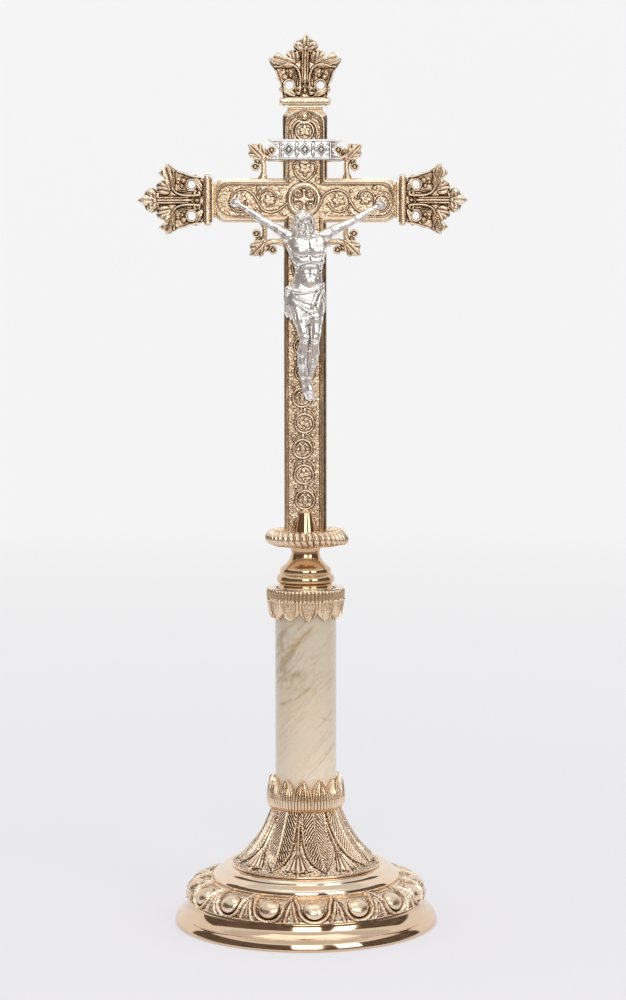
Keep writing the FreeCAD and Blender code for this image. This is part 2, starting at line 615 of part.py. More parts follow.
# ---------------------------------------------------------------- rivets
def rivet(name, x, z, head_y, radius, head):
    """A round rivet: shank through everything, a head in front and one behind."""
    shank = doc.addObject("Part::Cylinder", name + "_shank")
    shank.Radius = V[radius]
    shank.setExpression("Radius", "Sizes." + radius)
    shank.Height = front - head_y
    shank.Placement = Placement(Vector(x, front, z), Rotation(Vector(0, 0, 1), Vector(0, -1, 0)))
    dome = doc.addObject("Part::Cone", name + "_head")
    dome.Radius1 = V[head]
    dome.setExpression("Radius1", "Sizes." + head)
    dome.Radius2 = V[head] * 0.55
    dome.Height = 0.7
    dome.Placement = Placement(Vector(x, head_y, z), Rotation(Vector(0, 0, 1), Vector(0, -1, 0)))
    tail = doc.addObject("Part::Cone", name + "_tail")
    tail.Radius1 = V[head]
    tail.setExpression("Radius1", "Sizes." + head)
    tail.Radius2 = V[head] * 0.6
    tail.Height = 0.6
    tail.Placement = Placement(Vector(x, front, z), Rotation(Vector(0, 0, 1), Vector(0, 1, 0)))
    fused = doc.addObject("Part::MultiFuse", name)
    fused.Shapes = [shank, dome, tail]
    return fused


corpus_pins = []
for tag, (hx, hz) in (("hand_a", HAND_L), ("hand_b", HAND_R), ("feet", FEET)):
    corpus_pins.append(rivet("rivet_" + tag, hx, hz, HEAD_Y[(hx, hz)], "rivet_radius", "rivet_head"))
group = doc.addObject("Part::Compound", "corpus_rivets")
group.Label = "corpus_rivets"
group.Links = corpus_pins
PARTS.append(group)
ribbon_pins = [rivet("rivet_ribbon_%d" % i, x, z, -front - V["ribbon_thick"] + 0.4, "rivet_radius", "rivet_head")
               for i, (x, z) in enumerate(RIBBON)]
group = doc.addObject("Part::Compound", "titulus_rivets")
group.Label = "titulus_rivets"
group.Links = ribbon_pins
PARTS.append(group)

# ---------------------------------------------------------------- tie rod set
rod = doc.addObject("Part::Cylinder", "tie_rod")
rod.Label = "tie_rod"
rod.Radius = V["rod_radius"]
rod.setExpression("Radius", "Sizes.rod_radius")
rod.Height = V["thread_top"] - V["rod_foot"]
rod.setExpression("Height", "Sizes.thread_top - Sizes.rod_foot")
rod.Placement = Placement(Vector(0, 0, V["rod_foot"]), Rotation())
PARTS.append(rod)
PARTS.append(turned("clamp_plate", [
    ("rod_clear", "plate_low"), ("plate_radius - 0.5", "plate_low"), ("plate_radius", "plate_low + 0.5"),
    ("plate_radius", "plate_high"), ("rod_clear", "plate_high"),
]))
PARTS.append(turned("lock_washer", [
    ("rod_radius + 0.1", "plate_low - washer_thick"), ("washer_radius", "plate_low - washer_thick"),
    ("washer_radius", "plate_low"), ("rod_radius + 0.1", "plate_low"),
]))
nut = new_body("rod_nut")
ns = nut.newObject("Sketcher::SketchObject", "nut_outline")
ns.AttachmentSupport = [(plane(nut, "XY_Plane"), "")]
ns.MapMode = "FlatFace"
ns.AttachmentOffset = Placement(Vector(0, 0, V["plate_low"] - V["washer_thick"] - V["nut_high"] + 0.4), Rotation())
corners = []
across = V["nut_flats"] / math.sqrt(3)
for k in range(6):
    corners.append(Vector(across * math.cos(k * math.pi / 3), across * math.sin(k * math.pi / 3), 0))
for k in range(6):
    ns.addGeometry(Part.LineSegment(corners[k], corners[(k + 1) % 6]), False)
for k in range(6):
    ns.addConstraint(Sketcher.Constraint("Coincident", k, 2, (k + 1) % 6, 1))
for k in range(6):
    for axis, kind, other in ((0, "DistanceX", -2), (1, "DistanceY", -1)):
        if abs(corners[k][axis]) < 1e-9:
            ns.addConstraint(Sketcher.Constraint("PointOnObject", k, 1, other))
        else:
            ns.addConstraint(Sketcher.Constraint(kind, -1, 1, k, 1, corners[k][axis]))
bore_id = ns.addGeometry(Part.Circle(Vector(0, 0, 0), Vector(0, 0, 1), V["rod_radius"] + 0.03), False)
ns.addConstraint(Sketcher.Constraint("Coincident", bore_id, 3, -1, 1))
c = ns.addConstraint(Sketcher.Constraint("Radius", bore_id, V["rod_radius"] + 0.03))
ns.setExpression("Constraints[%d]" % c, "Sizes.rod_radius + 0.03")
nut_pad = pad(nut, ns, "nut_high - 0.4", "nut_prism", midplane=False)
PARTS.append(nut)

# ---------------------------------------------------------------- checks and export
doc.recompute()
for obj in doc.Objects:
    bad = [s for s in obj.State if s in ("Invalid", "Error")]
    if bad:
        raise RuntimeError("%s (%s) is %s" % (obj.Name, obj.Label, bad))
os.makedirs("parts", exist_ok=True)
for obj in PARTS:
    shape = obj.Shape
    if shape.isNull() or not shape.isValid():
        raise RuntimeError("%s has a bad shape" % obj.Label)
    if not shape.Solids or any(s.Volume <= 0 for s in shape.Solids):
        raise RuntimeError("%s has no solid" % obj.Label)
total = FreeCAD.BoundBox()
for obj in PARTS:
    box = obj.Shape.optimalBoundingBox(False)
    total.add(box)
    obj.Shape.exportStep("parts/%s.step" % obj.Label)
    print("%-26s solids %d  volume %9.1f  x %.1f..%.1f y %.1f..%.1f z %.1f..%.1f" % (
        obj.Label, len(obj.Shape.Solids), obj.Shape.Volume, box.XMin, box.XMax, box.YMin, box.YMax, box.ZMin, box.ZMax))
print("pieces", len(PARTS), "box", total)
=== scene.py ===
import bpy
import math
import numpy as np
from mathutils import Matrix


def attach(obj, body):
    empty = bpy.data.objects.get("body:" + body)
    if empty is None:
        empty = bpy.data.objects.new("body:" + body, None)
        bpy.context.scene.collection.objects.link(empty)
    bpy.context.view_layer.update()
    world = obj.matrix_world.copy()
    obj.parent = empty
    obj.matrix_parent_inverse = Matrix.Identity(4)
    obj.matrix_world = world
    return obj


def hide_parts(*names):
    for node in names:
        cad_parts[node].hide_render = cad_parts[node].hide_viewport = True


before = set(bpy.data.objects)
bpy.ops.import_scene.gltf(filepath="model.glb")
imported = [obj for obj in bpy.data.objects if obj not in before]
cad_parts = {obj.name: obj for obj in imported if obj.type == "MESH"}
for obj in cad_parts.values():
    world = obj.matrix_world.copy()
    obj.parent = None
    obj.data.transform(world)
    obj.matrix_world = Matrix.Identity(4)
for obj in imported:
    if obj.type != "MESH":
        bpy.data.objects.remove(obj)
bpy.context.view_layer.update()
MM = 0.001
RNG = np.random.default_rng(11)


# ------------------------------------------------------------------ mesh helpers
def ss(a, b, x):
    t = np.clip((x - a) / (b - a), 0.0, 1.0)
    return t * t * (3 - 2 * t)


def mix(a, b, t):
    return a * (1 - t) + b * t


def smax(a, b, k):
    h = np.clip(0.5 + 0.5 * (a - b) / k, 0, 1)
    return b * (1 - h) + a * h + k * h * (1 - h)


def smin(a, b, k):
    return -smax(-a, -b, k)


def rpoly(pts, closed=False, n=5):
    """A polyline with rounded corners: each point is (x, y) or (x, y, radius)."""
    out = []
    m = len(pts)
    for i in range(m):
        p = np.array(pts[i][:2], float)
        r = pts[i][2] if len(pts[i]) > 2 else 0.0
        if r <= 0 or (not closed and i in (0, m - 1)):
            out.append(p)
            continue
        a = np.array(pts[(i - 1) % m][:2], float)
        b = np.array(pts[(i + 1) % m][:2], float)
        u, v = a - p, b - p
        lu, lv = np.linalg.norm(u), np.linalg.norm(v)
        u, v = u / lu, v / lv
        ang = math.acos(float(np.clip(u @ v, -1, 1)))
        if ang > math.pi - 0.02:
            out.append(p)
            continue
        t = min(r / math.tan(ang / 2), lu * 0.49, lv * 0.49)
        for k in range(n + 1):
            w = k / n
            q = (1 - w) ** 2 * (p + u * t) + 2 * w * (1 - w) * p + w * w * (p + v * t)
            out.append(q)
    return np.array(out)


def arc3(a, m, b, n=12):
    """Points of the circular arc from a through m to b, ends included."""
    a, m, b = (np.array(p, float) for p in (a, m, b))
    d = 2 * (a[0] * (m[1] - b[1]) + m[0] * (b[1] - a[1]) + b[0] * (a[1] - m[1]))
    ux = ((a @ a) * (m[1] - b[1]) + (m @ m) * (b[1] - a[1]) + (b @ b) * (a[1] - m[1])) / d
    uy = ((a @ a) * (b[0] - m[0]) + (m @ m) * (a[0] - b[0]) + (b @ b) * (m[0] - a[0])) / d
    c = np.array([ux, uy])
    r = np.linalg.norm(a - c)
    t0, tm, t1 = (math.atan2(*(p - c)[::-1]) for p in (a, m, b))
    def unwrap(t, s):
        while t < s:
            t += 2 * math.pi
        return t
    tm_, t1_ = unwrap(tm, t0), unwrap(t1, t0)
    if tm_ > t1_:
        t1_ -= 2 * math.pi
    ts = np.linspace(t0, t1_, n)
    return [tuple(c + r * np.array([math.cos(t), math.sin(t)])) for t in ts]


def spline(pts, n=8, closed=False):
    """Catmull-Rom through the points."""
    P = np.array(pts, float)
    m = len(P)
    out = []
    rng = range(m) if closed else range(m - 1)
    for i in rng:
        if closed:
            p0, p1, p2, p3 = P[(i - 1) % m], P[i], P[(i + 1) % m], P[(i + 2) % m]
        else:
            p1, p2 = P[i], P[i + 1]
            p0 = P[i - 1] if i > 0 else 2 * p1 - p2
            p3 = P[i + 2] if i + 2 < m else 2 * p2 - p1
        for k in range(n):
            t = k / n
            out.append(0.5 * ((2 * p1) + (-p0 + p2) * t + (2 * p0 - 5 * p1 + 4 * p2 - p3) * t * t
                              + (-p0 + 3 * p1 - 3 * p2 + p3) * t ** 3))
    if not closed:
        out.append(P[-1])
    return np.array(out)


def resample(P, step):
    P = np.asarray(P, float)
    d = np.r_[0, np.cumsum(np.linalg.norm(np.diff(P, axis=0), axis=1))]
    n = max(2, int(round(d[-1] / step)) + 1)
    s = np.linspace(0, d[-1], n)
    return np.c_[np.interp(s, d, P[:, 0]), np.interp(s, d, P[:, 1])]


def grid_faces(nu, nv, wrap_u=False, wrap_v=False, flip=False):
    """Quads of a grid whose vertex (i, j) is number i * nv + j."""
    iu = np.arange(nu if wrap_u else nu - 1)
    jv = np.arange(nv if wrap_v else nv - 1)
    I, J = np.meshgrid(iu, jv, indexing="ij")
    I, J = I.ravel(), J.ravel()
    I2, J2 = (I + 1) % nu, (J + 1) % nv
    q = np.stack([I * nv + J, I2 * nv + J, I2 * nv + J2, I * nv + J2], axis=1)
    return q[:, ::-1] if flip else q


def build(name, V, quads=None, tris=None, mat=None, node=None, slot=None, smooth=True, sharp=None,
          cav=True, attrs=None, body="root", cav_iters=6, ngons=None, crisp=None):
    V = np.asarray(V, float)
    quads = np.zeros((0, 4), int) if quads is None else np.asarray(quads, int)
    tris = np.zeros((0, 3), int) if tris is None else np.asarray(tris, int)
    me = bpy.data.meshes.new(name)
    me.vertices.add(len(V))
    me.vertices.foreach_set("co", (V * MM).astype(np.float32).ravel())
    ngons = [np.asarray(g, int) for g in (ngons or [])]
    loops = np.concatenate([quads.ravel(), tris.ravel()] + ngons).astype(np.int32)
    me.loops.add(len(loops))
    me.loops.foreach_set("vertex_index", loops)
    base = len(quads) * 4 + len(tris) * 3
    more = base + np.cumsum([0] + [len(g) for g in ngons[:-1]]) if ngons else np.zeros(0)
    starts = np.concatenate([np.arange(len(quads)) * 4, len(quads) * 4 + np.arange(len(tris)) * 3, more]).astype(np.int32)
    me.polygons.add(len(starts))
    me.polygons.foreach_set("loop_start", starts)
    me.update(calc_edges=True)
    me.validate()
    me.polygons.foreach_set("use_smooth", np.full(len(me.polygons), smooth, dtype=bool))
    if sharp:
        me.set_sharp_from_angle(angle=math.radians(sharp))
    if crisp is not None:
        ed = np.zeros(len(me.edges) * 2, np.int32)
        me.edges.foreach_get("vertices", ed)
        on = np.zeros(len(V), bool)
        on[crisp] = True
        at = me.attributes.get("sharp_edge") or me.attributes.new("sharp_edge", "BOOLEAN", "EDGE")
        flag = np.zeros(len(me.edges), bool)
        at.data.foreach_get("value", flag)
        flag |= on[ed.reshape(-1, 2)].all(axis=1)
        at.data.foreach_set("value", flag)
    ob = bpy.data.objects.new(name, me)
    bpy.context.scene.collection.objects.link(ob)
    if cav:
        add_cavity(me, iters=cav_iters)
    for key, arr in (attrs or {}).items():
        at = me.attributes.new(key, "FLOAT", "POINT")
        at.data.foreach_set("value", np.asarray(arr, np.float32).ravel())
    if mat:
        me.materials.append(mat)
    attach(ob, body)
    if node:
        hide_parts(*([node] if isinstance(node, str) else node))
    return ob


def mesh_arrays(me):
    n = len(me.vertices)
    co = np.empty(n * 3, np.float32)
    me.vertices.foreach_get("co", co)
    no = np.empty(n * 3, np.float32)
    me.vertices.foreach_get("normal", no)
    ed = np.empty(len(me.edges) * 2, np.int32)
    me.edges.foreach_get("vertices", ed)
    return co.reshape(-1, 3).astype(float), no.reshape(-1, 3).astype(float), ed.reshape(-1, 2)


def add_cavity(me, iters=6):
    """Point attribute cav: how far, in mm, the smoothed surface stands above a point (pits positive)."""
    co, no, ed = mesh_arrays(me)
    n = len(co)
    deg = np.bincount(ed.ravel(), minlength=n).astype(float)
    deg[deg == 0] = 1
    P = co.copy()
    total = np.zeros(n)
    for k in range(iters):
        S = np.zeros_like(P)
        for a in range(3):
            S[:, a] = np.bincount(ed[:, 0], P[ed[:, 1], a], minlength=n) + np.bincount(ed[:, 1], P[ed[:, 0], a], minlength=n)
        P = 0.5 * P + 0.5 * S / deg[:, None]
        if k in (iters // 3, iters - 1):
            total += ((P - co) * no).sum(1) / MM
    at = me.attributes.new("cav", "FLOAT", "POINT")
    at.data.foreach_set("value", (total * 0.5).astype(np.float32))


def lathe(name, prof, n=192, closed=True, disp=None, **kw):
    """Revolves a closed profile of (r, z) about Z. The profile runs so that the outside is on its right
    hand when it goes up; orientation is fixed by the signed area."""
    P = np.asarray(prof, float)
    x, y = P[:, 0], P[:, 1]
    area = 0.5 * np.sum(x * np.roll(y, -1) - np.roll(x, -1) * y)
    if area < 0:
        P = P[::-1]
    m = len(P)
    th = np.linspace(0, 2 * math.pi, n, endpoint=False)
    V = np.empty((n, m, 3))
    V[:, :, 0] = P[None, :, 0] * np.sin(th)[:, None]
    V[:, :, 1] = -P[None, :, 0] * np.cos(th)[:, None]
    V[:, :, 2] = P[None, :, 1]
    q = grid_faces(n, m, wrap_u=True, wrap_v=True)
    return build(name, V.reshape(-1, 3), q, **kw)


def relief_ring(name, outer, inner, n, disp, **kw):
    """A ring whose outer skin is displaced. outer: open profile (m, 2) from bottom to top (r, z), inner: open
    profile from the top back to the bottom. disp(theta, s, P, N) gives the height in mm along the normal."""
    O = np.asarray(outer, float)
    T = np.gradient(O, axis=0)
    T /= np.linalg.norm(T, axis=1)[:, None]
    N = np.c_[T[:, 1], -T[:, 0]]
    s = np.r_[0, np.cumsum(np.linalg.norm(np.diff(O, axis=0), axis=1))]
    th = np.linspace(0, 2 * math.pi, n, endpoint=False)
    TH, S = np.meshgrid(th, s, indexing="ij")
    d = disp(TH, S, O, s)
    R = O[None, :, 0] + N[None, :, 0] * d
    Z = O[None, :, 1] + N[None, :, 1] * d
    I = np.asarray(inner, float)
    R = np.concatenate([R, np.repeat(I[None, :, 0], n, 0)], axis=1)
    Z = np.concatenate([Z, np.repeat(I[None, :, 1], n, 0)], axis=1)
    TT = th[:, None]
    V = np.stack([R * np.sin(TT), -R * np.cos(TT), Z], axis=2)
    q = grid_faces(n, V.shape[1], wrap_u=True, wrap_v=True)
    return build(name, V.reshape(-1, 3), q, **kw)


def noise2(x, y, seed=0):
    """Smooth value noise on the plane, in -1..1, from a hashed lattice."""
    xi, yi = np.floor(x).astype(np.int64), np.floor(y).astype(np.int64)
    xf, yf = x - xi, y - yi
    def h(i, j):
        v = (i * 374761393 + j * 668265263 + seed * 974634777) & 0xFFFFFFFF
        v = ((v ^ (v >> 13)) * 1274126177) & 0xFFFFFFFF
        v = (v ^ (v >> 16)) & 0xFFFFFFFF
        return v / 2147483648.0 - 1.0
    u, v = xf * xf * (3 - 2 * xf), yf * yf * (3 - 2 * yf)
    return (h(xi, yi) * (1 - u) + h(xi + 1, yi) * u) * (1 - v) + (h(xi, yi + 1) * (1 - u) + h(xi + 1, yi + 1) * u) * v


# ------------------------------------------------------------------ materials
class NT:
    def __init__(self, name):
        self.mat = bpy.data.materials.new(name)
        self.mat.use_nodes = True
        self.nt = self.mat.node_tree
        self.nt.nodes.clear()

    def n(self, kind, **props):
        node = self.nt.nodes.new(kind)
        for k, v in props.items():
            if k == "inputs":
                for name, value in v.items():
                    node.inputs[name].default_value = value
            else:
                setattr(node, k, v)
        return node

    def l(self, a, b):
        self.nt.links.new(a, b)

    def noise(self, coord, scale, detail=3, rough=0.5, dist=0.0):
        nd = self.n("ShaderNodeTexNoise")
        nd.inputs["Scale"].default_value = scale
        nd.inputs["Detail"].default_value = detail
        nd.inputs["Roughness"].default_value = rough
        nd.inputs["Distortion"].default_value = dist
        self.l(coord, nd.inputs["Vector"])
        return nd.outputs["Fac"]

    def ramp(self, fac, stops, interp="LINEAR"):
        r = self.n("ShaderNodeValToRGB")
        r.color_ramp.interpolation = interp
        els = r.color_ramp.elements
        while len(els) > 1:
            els.remove(els[-1])
        for i, (p, c) in enumerate(stops):
            e = els[0] if i == 0 else els.new(p)
            e.position = p
            e.color = c if len(c) == 4 else (*c, 1)
        self.l(fac, r.inputs["Fac"])
        return r.outputs["Color"]

    def mapr(self, val, a, b, c, d):
        m = self.n("ShaderNodeMapRange")
        m.inputs["From Min"].default_value, m.inputs["From Max"].default_value = a, b
        m.inputs["To Min"].default_value, m.inputs["To Max"].default_value = c, d
        self.l(val, m.inputs["Value"])
        return m.outputs["Result"]

    def mixc(self, fac, a, b, mode="MIX"):
        m = self.n("ShaderNodeMix", data_type="RGBA", blend_type=mode)
        for v, sock in ((fac, m.inputs[0]), (a, m.inputs[6]), (b, m.inputs[7])):
            if isinstance(v, (int, float)):
                sock.default_value = v
            elif isinstance(v, tuple):
                sock.default_value = v if len(v) == 4 else (*v, 1)
            else:
                self.l(v, sock)
        return m.outputs[2]

    def math(self, op, a, b=None):
        m = self.n("ShaderNodeMath", operation=op)
        for v, sock in ((a, m.inputs[0]), (b, m.inputs[1])):
            if v is None:
                continue
            if isinstance(v, (int, float)):
                sock.default_value = v
            else:
                self.l(v, sock)
        return m.outputs[0]

    def bump(self, height, strength, dist, normal=None):
        b = self.n("ShaderNodeBump")
        b.inputs["Strength"].default_value = strength
        b.inputs["Distance"].default_value = dist
        self.l(height, b.inputs["Height"])
        if normal is not None:
            self.l(normal, b.inputs["Normal"])
        return b.outputs["Normal"]


def metal(name, bright, mid, dark, rough_hi, rough_lo, c0=-0.03, c1=0.06, grain=900.0, grain_amt=0.0,
          blotch=0.12, brushed=None, metallic=1.0):
    """Cast or polished metal. Point attribute cav darkens and roughens the recesses, partly patina and partly painted
    shade, and lightens the crests as a painted highlight.
    """
    t = NT(name)
    coord = t.n("ShaderNodeTexCoord").outputs["Object"]
    cav = t.n("ShaderNodeAttribute", attribute_name="cav").outputs["Fac"]
    fine = t.noise(coord, 260.0, 4, 0.6)
    wob = t.math("MULTIPLY", t.math("SUBTRACT", fine, 0.5), (c1 - c0) * 0.9)
    # cav picks the colour: crests take bright, a painted highlight; pits take dark, patina with painted shade
    fac = t.mapr(t.math("ADD", cav, wob), c0, c1, 0.0, 1.0)
    col = t.ramp(fac, [(0.0, bright), (0.42, mid), (1.0, dark)])
    big = t.noise(coord, 38.0, 3, 0.55)
    tint = t.ramp(big, [(0.3, (1 - blotch, 1 - blotch * 1.25, 1 - blotch * 1.6)), (0.7, (1, 1, 1))])
    col = t.mixc(1.0, col, tint, "MULTIPLY")
    rough = t.mapr(fac, 0.0, 1.0, rough_hi, rough_lo)
    smear = t.noise(coord, 120.0, 5, 0.65)
    rough = t.math("ADD", rough, t.mapr(smear, 0.35, 0.75, -0.02, 0.05))
    p = t.n("ShaderNodeBsdfPrincipled")
    p.inputs["Metallic"].default_value = metallic
    t.l(col, p.inputs["Base Color"])
    t.l(rough, p.inputs["Roughness"])
    h = t.noise(coord, grain, 2, 0.5)
    nrm = t.bump(h, grain_amt, 0.0004) if grain_amt > 0 else None
    if brushed:
        sep = t.n("ShaderNodeSeparateXYZ")
        t.l(coord, sep.inputs[0])
        comb = t.n("ShaderNodeCombineXYZ")
        t.l(t.math("MULTIPLY", sep.outputs[2], brushed), comb.inputs[2])
        rr = t.math("SQRT", t.math("ADD", t.math("MULTIPLY", sep.outputs[0], sep.outputs[0]),
                                   t.math("MULTIPLY", sep.outputs[1], sep.outputs[1])))
        t.l(t.math("MULTIPLY", rr, brushed), comb.inputs[0])
        lines = t.noise(comb.outputs[0], 1.0, 2, 0.6)
        nrm = t.bump(lines, 0.05, 0.0002, nrm)
    if nrm is not None:
        t.l(nrm, p.inputs["Normal"])
    out = t.n("ShaderNodeOutputMaterial")
    t.l(p.outputs[0], out.inputs[0])
    return t.mat


M_POL = metal("polished_brass", (0.92, 0.735, 0.56), (0.88, 0.67, 0.47), (0.60, 0.38, 0.22), 0.09, 0.18,
              c0=-0.02, c1=0.25, blotch=0.05, brushed=2600.0)
# darker copies of the polished brass: painted shade on the foot rim, the neck knop and the socket cone
M_RIM_PAINTED_SHADE = metal("polished_brass_foot_painted_shade", (0.81, 0.61, 0.43), (0.76, 0.545, 0.355), (0.55, 0.35, 0.20), 0.085, 0.17,
              c0=-0.02, c1=0.25, blotch=0.06, brushed=2600.0)
M_NECK_PAINTED_SHADE = metal("polished_brass_neck_painted_shade", (0.735, 0.52, 0.33), (0.67, 0.445, 0.26), (0.50, 0.29, 0.15), 0.085, 0.17,
               c0=-0.02, c1=0.22, blotch=0.06, brushed=2600.0)
M_CAST = metal("cast_brass", (0.96, 0.79, 0.62), (0.78, 0.575, 0.395), (0.155, 0.098, 0.062), 0.16, 0.50, c0=-0.045, c1=0.09, grain=1500.0, grain_amt=0.3)
# lighter copies of the cast brass: painted highlight on the leaf cups, the cross, its finials and corner leaves
M_CUP_PAINTED_HIGHLIGHT = metal("cast_brass_leaves_painted_highlight", (0.98, 0.81, 0.615), (0.86, 0.65, 0.435), (0.19, 0.12, 0.075), 0.14, 0.42, c0=-0.045, c1=0.098, grain=1500.0, grain_amt=0.2)
M_CROSS_PAINTED_HIGHLIGHT = metal("cross_brass_painted_highlight", (1.0, 0.865, 0.69), (0.80, 0.60, 0.42), (0.16, 0.10, 0.06), 0.18, 0.46, c0=-0.038, c1=0.062,
                grain=1700.0, grain_amt=0.35)
M_SILVER = metal("silver_plate", (0.975, 0.950, 0.930), (0.905, 0.865, 0.84), (0.10, 0.085, 0.08), 0.17, 0.38,
                 c0=-0.010, c1=0.056, grain=1200.0, grain_amt=0.12, blotch=0.04, metallic=0.86)
M_STEEL = metal("zinc_steel", (0.62, 0.62, 0.61), (0.55, 0.55, 0.54), (0.25, 0.25, 0.25), 0.32, 0.45,
                c0=-0.02, c1=0.2, grain=800.0, grain_amt=0.2)


def marble():
    """Warm onyx-like marble: cloudy bedding and brown veins that climb to the right."""
    t = NT("column_marble")
    tc = t.n("ShaderNodeTexCoord").outputs["Object"]
    sep = t.n("ShaderNodeSeparateXYZ")
    t.l(tc, sep.inputs[0])
    X, Z = sep.outputs[0], sep.outputs[2]
    m0 = t.n("ShaderNodeMapping")
    m0.inputs["Rotation"].default_value = (math.radians(10), math.radians(48), 0.0)
    t.l(tc, m0.inputs["Vector"])
    mp = t.n("ShaderNodeMapping")
    mp.inputs["Scale"].default_value = (15.0, 17.0, 56.0)
    t.l(m0.outputs[0], mp.inputs["Vector"])
    warp = t.n("ShaderNodeTexNoise")
    warp.inputs["Scale"].default_value = 1.4
    warp.inputs["Detail"].default_value = 5
    t.l(mp.outputs[0], warp.inputs["Vector"])
    va = t.n("ShaderNodeVectorMath", operation="MULTIPLY_ADD")
    t.l(warp.outputs["Color"], va.inputs[0])
    va.inputs[1].default_value = (1.1, 1.1, 1.1)
    t.l(mp.outputs[0], va.inputs[2])
    v = va.outputs[0]
    n1 = t.noise(v, 1.15, 6, 0.62, 0.9)
    n2 = t.noise(v, 2.6, 7, 0.6, 1.3)
    n3 = t.noise(v, 0.55, 3, 0.5, 0.4)
    fine = t.noise(tc, 420.0, 5, 0.65)
    bend = t.noise(tc, 58.0, 5, 0.6)
    break_up = t.noise(v, 5.5, 5, 0.62, 0.6)
    streak = t.noise(v, 7.5, 4, 0.6, 0.8)
    zt = t.mapr(Z, 0.074, 0.150, 0.0, 1.0)
    calm = t.mapr(zt, 0.0, 0.6, 0.35, 1.0)
    base = t.mixc(zt, (0.718, 0.602, 0.475), (0.512, 0.430, 0.325))
    grey = t.mapr(t.noise(tc, 26.0, 4, 0.55), 0.42, 0.62, 0.0, 1.0)
    base = t.mixc(t.math("MULTIPLY", grey, t.math("MULTIPLY", zt, 0.55)), base, (0.505, 0.465, 0.395))
    base = t.mixc(t.math("MULTIPLY", t.mapr(n3, 0.35, 0.65, 0.0, 1.0), 0.24), base, (0.56, 0.45, 0.335))
    line1 = t.math("ABSOLUTE", t.math("SUBTRACT", n1, 0.5))
    line2 = t.math("ABSOLUTE", t.math("SUBTRACT", n2, 0.47))
    gate = t.mapr(t.noise(v, 0.8, 2, 0.5), 0.44, 0.62, 0.10, 1.0)
    c = t.mixc(t.math("MULTIPLY", t.mapr(line1, 0.0, 0.030, 0.42, 0.0), t.math("MULTIPLY", gate, calm)), base, (0.40, 0.29, 0.18))
    c = t.mixc(t.math("MULTIPLY", t.mapr(line2, 0.0, 0.020, 0.42, 0.0), t.math("MULTIPLY", gate, calm)), c, (0.42, 0.35, 0.28))
    wisp = t.mapr(t.noise(v, 3.1, 6, 0.68, 1.6), 0.49, 0.62, 0.0, 0.80)
    wisp = t.math("MULTIPLY", wisp, t.mapr(Z, 0.106, 0.126, 0.0, 1.0))
    wisp = t.math("MULTIPLY", wisp, t.mapr(X, -0.004, 0.008, 1.0, 0.22))
    c = t.mixc(wisp, c, (0.375, 0.295, 0.195))
    # the main veins: slope, level on the axis, half width, strength, colour, reach along x
    for k, (sl, lev, w, a, col, x0, x1) in enumerate((
            (1.05, 0.1445, 0.0020, 0.85, (0.34, 0.225, 0.085), -0.0135, 0.0050),
            (0.95, 0.1560, 0.0014, 0.55, (0.32, 0.23, 0.12), -0.014, -0.002),
            (0.40, 0.1275, 0.0013, 0.70, (0.31, 0.23, 0.14), -0.0150, -0.0005),
            (0.62, 0.1185, 0.0012, 0.80, (0.36, 0.23, 0.10), -0.0145, 0.0035),
            (0.90, 0.1405, 0.0008, 0.60, (0.33, 0.25, 0.17), -0.0140, -0.0040),
            (1.00, 0.0945, 0.0008, 0.50, (0.36, 0.29, 0.22), 0.0035, 0.0150),
            (1.15, 0.0745, 0.0009, 0.60, (0.40, 0.28, 0.17), 0.0000, 0.0155),
            (-0.25, 0.1065, 0.0005, 0.60, (0.30, 0.23, 0.17), 0.0060, 0.0135),
            (1.60, 0.1250, 0.0009, 0.40, (0.38, 0.29, 0.19), 0.0035, 0.0150))):
        lvl = t.math("SUBTRACT", Z, t.math("MULTIPLY", X, sl))
        lvl = t.math("SUBTRACT", lvl, lev)
        lvl = t.math("ADD", lvl, t.math("MULTIPLY", t.math("SUBTRACT", bend, 0.5), 0.011))
        d = t.math("ABSOLUTE", lvl)
        m = t.mapr(d, 0.0, w * 2.0, 1.0, 0.0)
        m = t.math("MULTIPLY", m, m)
        m = t.math("MAXIMUM", m, t.mapr(d, 0.0, w * 0.42, 1.0, 0.0))
        m = t.math("MULTIPLY", m, t.mapr(X, x0, x0 + 0.003, 0.0, 1.0))
        m = t.math("MULTIPLY", m, t.mapr(X, x1 - 0.003, x1, 1.0, 0.0))
        m = t.math("MULTIPLY", m, t.mapr(break_up, 0.36, 0.56, 0.22, 1.0))
        m = t.math("MULTIPLY", m, a)
        c = t.mixc(m, c, col)
    thin = t.mapr(t.math("ABSOLUTE", t.math("SUBTRACT", streak, 0.5)), 0.0, 0.012, 0.34, 0.0)
    thin = t.math("MULTIPLY", thin, t.mapr(t.noise(tc, 75.0, 2, 0.5), 0.46, 0.60, 0.0, 1.0))
    c = t.mixc(thin, c, (0.34, 0.25, 0.16))
    c = t.mixc(t.mapr(fine, 0.35, 0.7, 0.0, 0.10), c, (0.46, 0.37, 0.29))
    p = t.n("ShaderNodeBsdfPrincipled")
    t.l(c, p.inputs["Base Color"])
    t.l(t.mapr(n2, 0.3, 0.7, 0.18, 0.27), p.inputs["Roughness"])
    p.inputs["Subsurface Weight"].default_value = 0.12
    p.inputs["Subsurface Radius"].default_value = (0.004, 0.003, 0.002)
    p.inputs["Coat Weight"].default_value = 0.2
    p.inputs["Coat Roughness"].default_value = 0.14
    out = t.n("ShaderNodeOutputMaterial")
    t.l(p.outputs[0], out.inputs[0])
    return t.mat


M_MARBLE = marble()


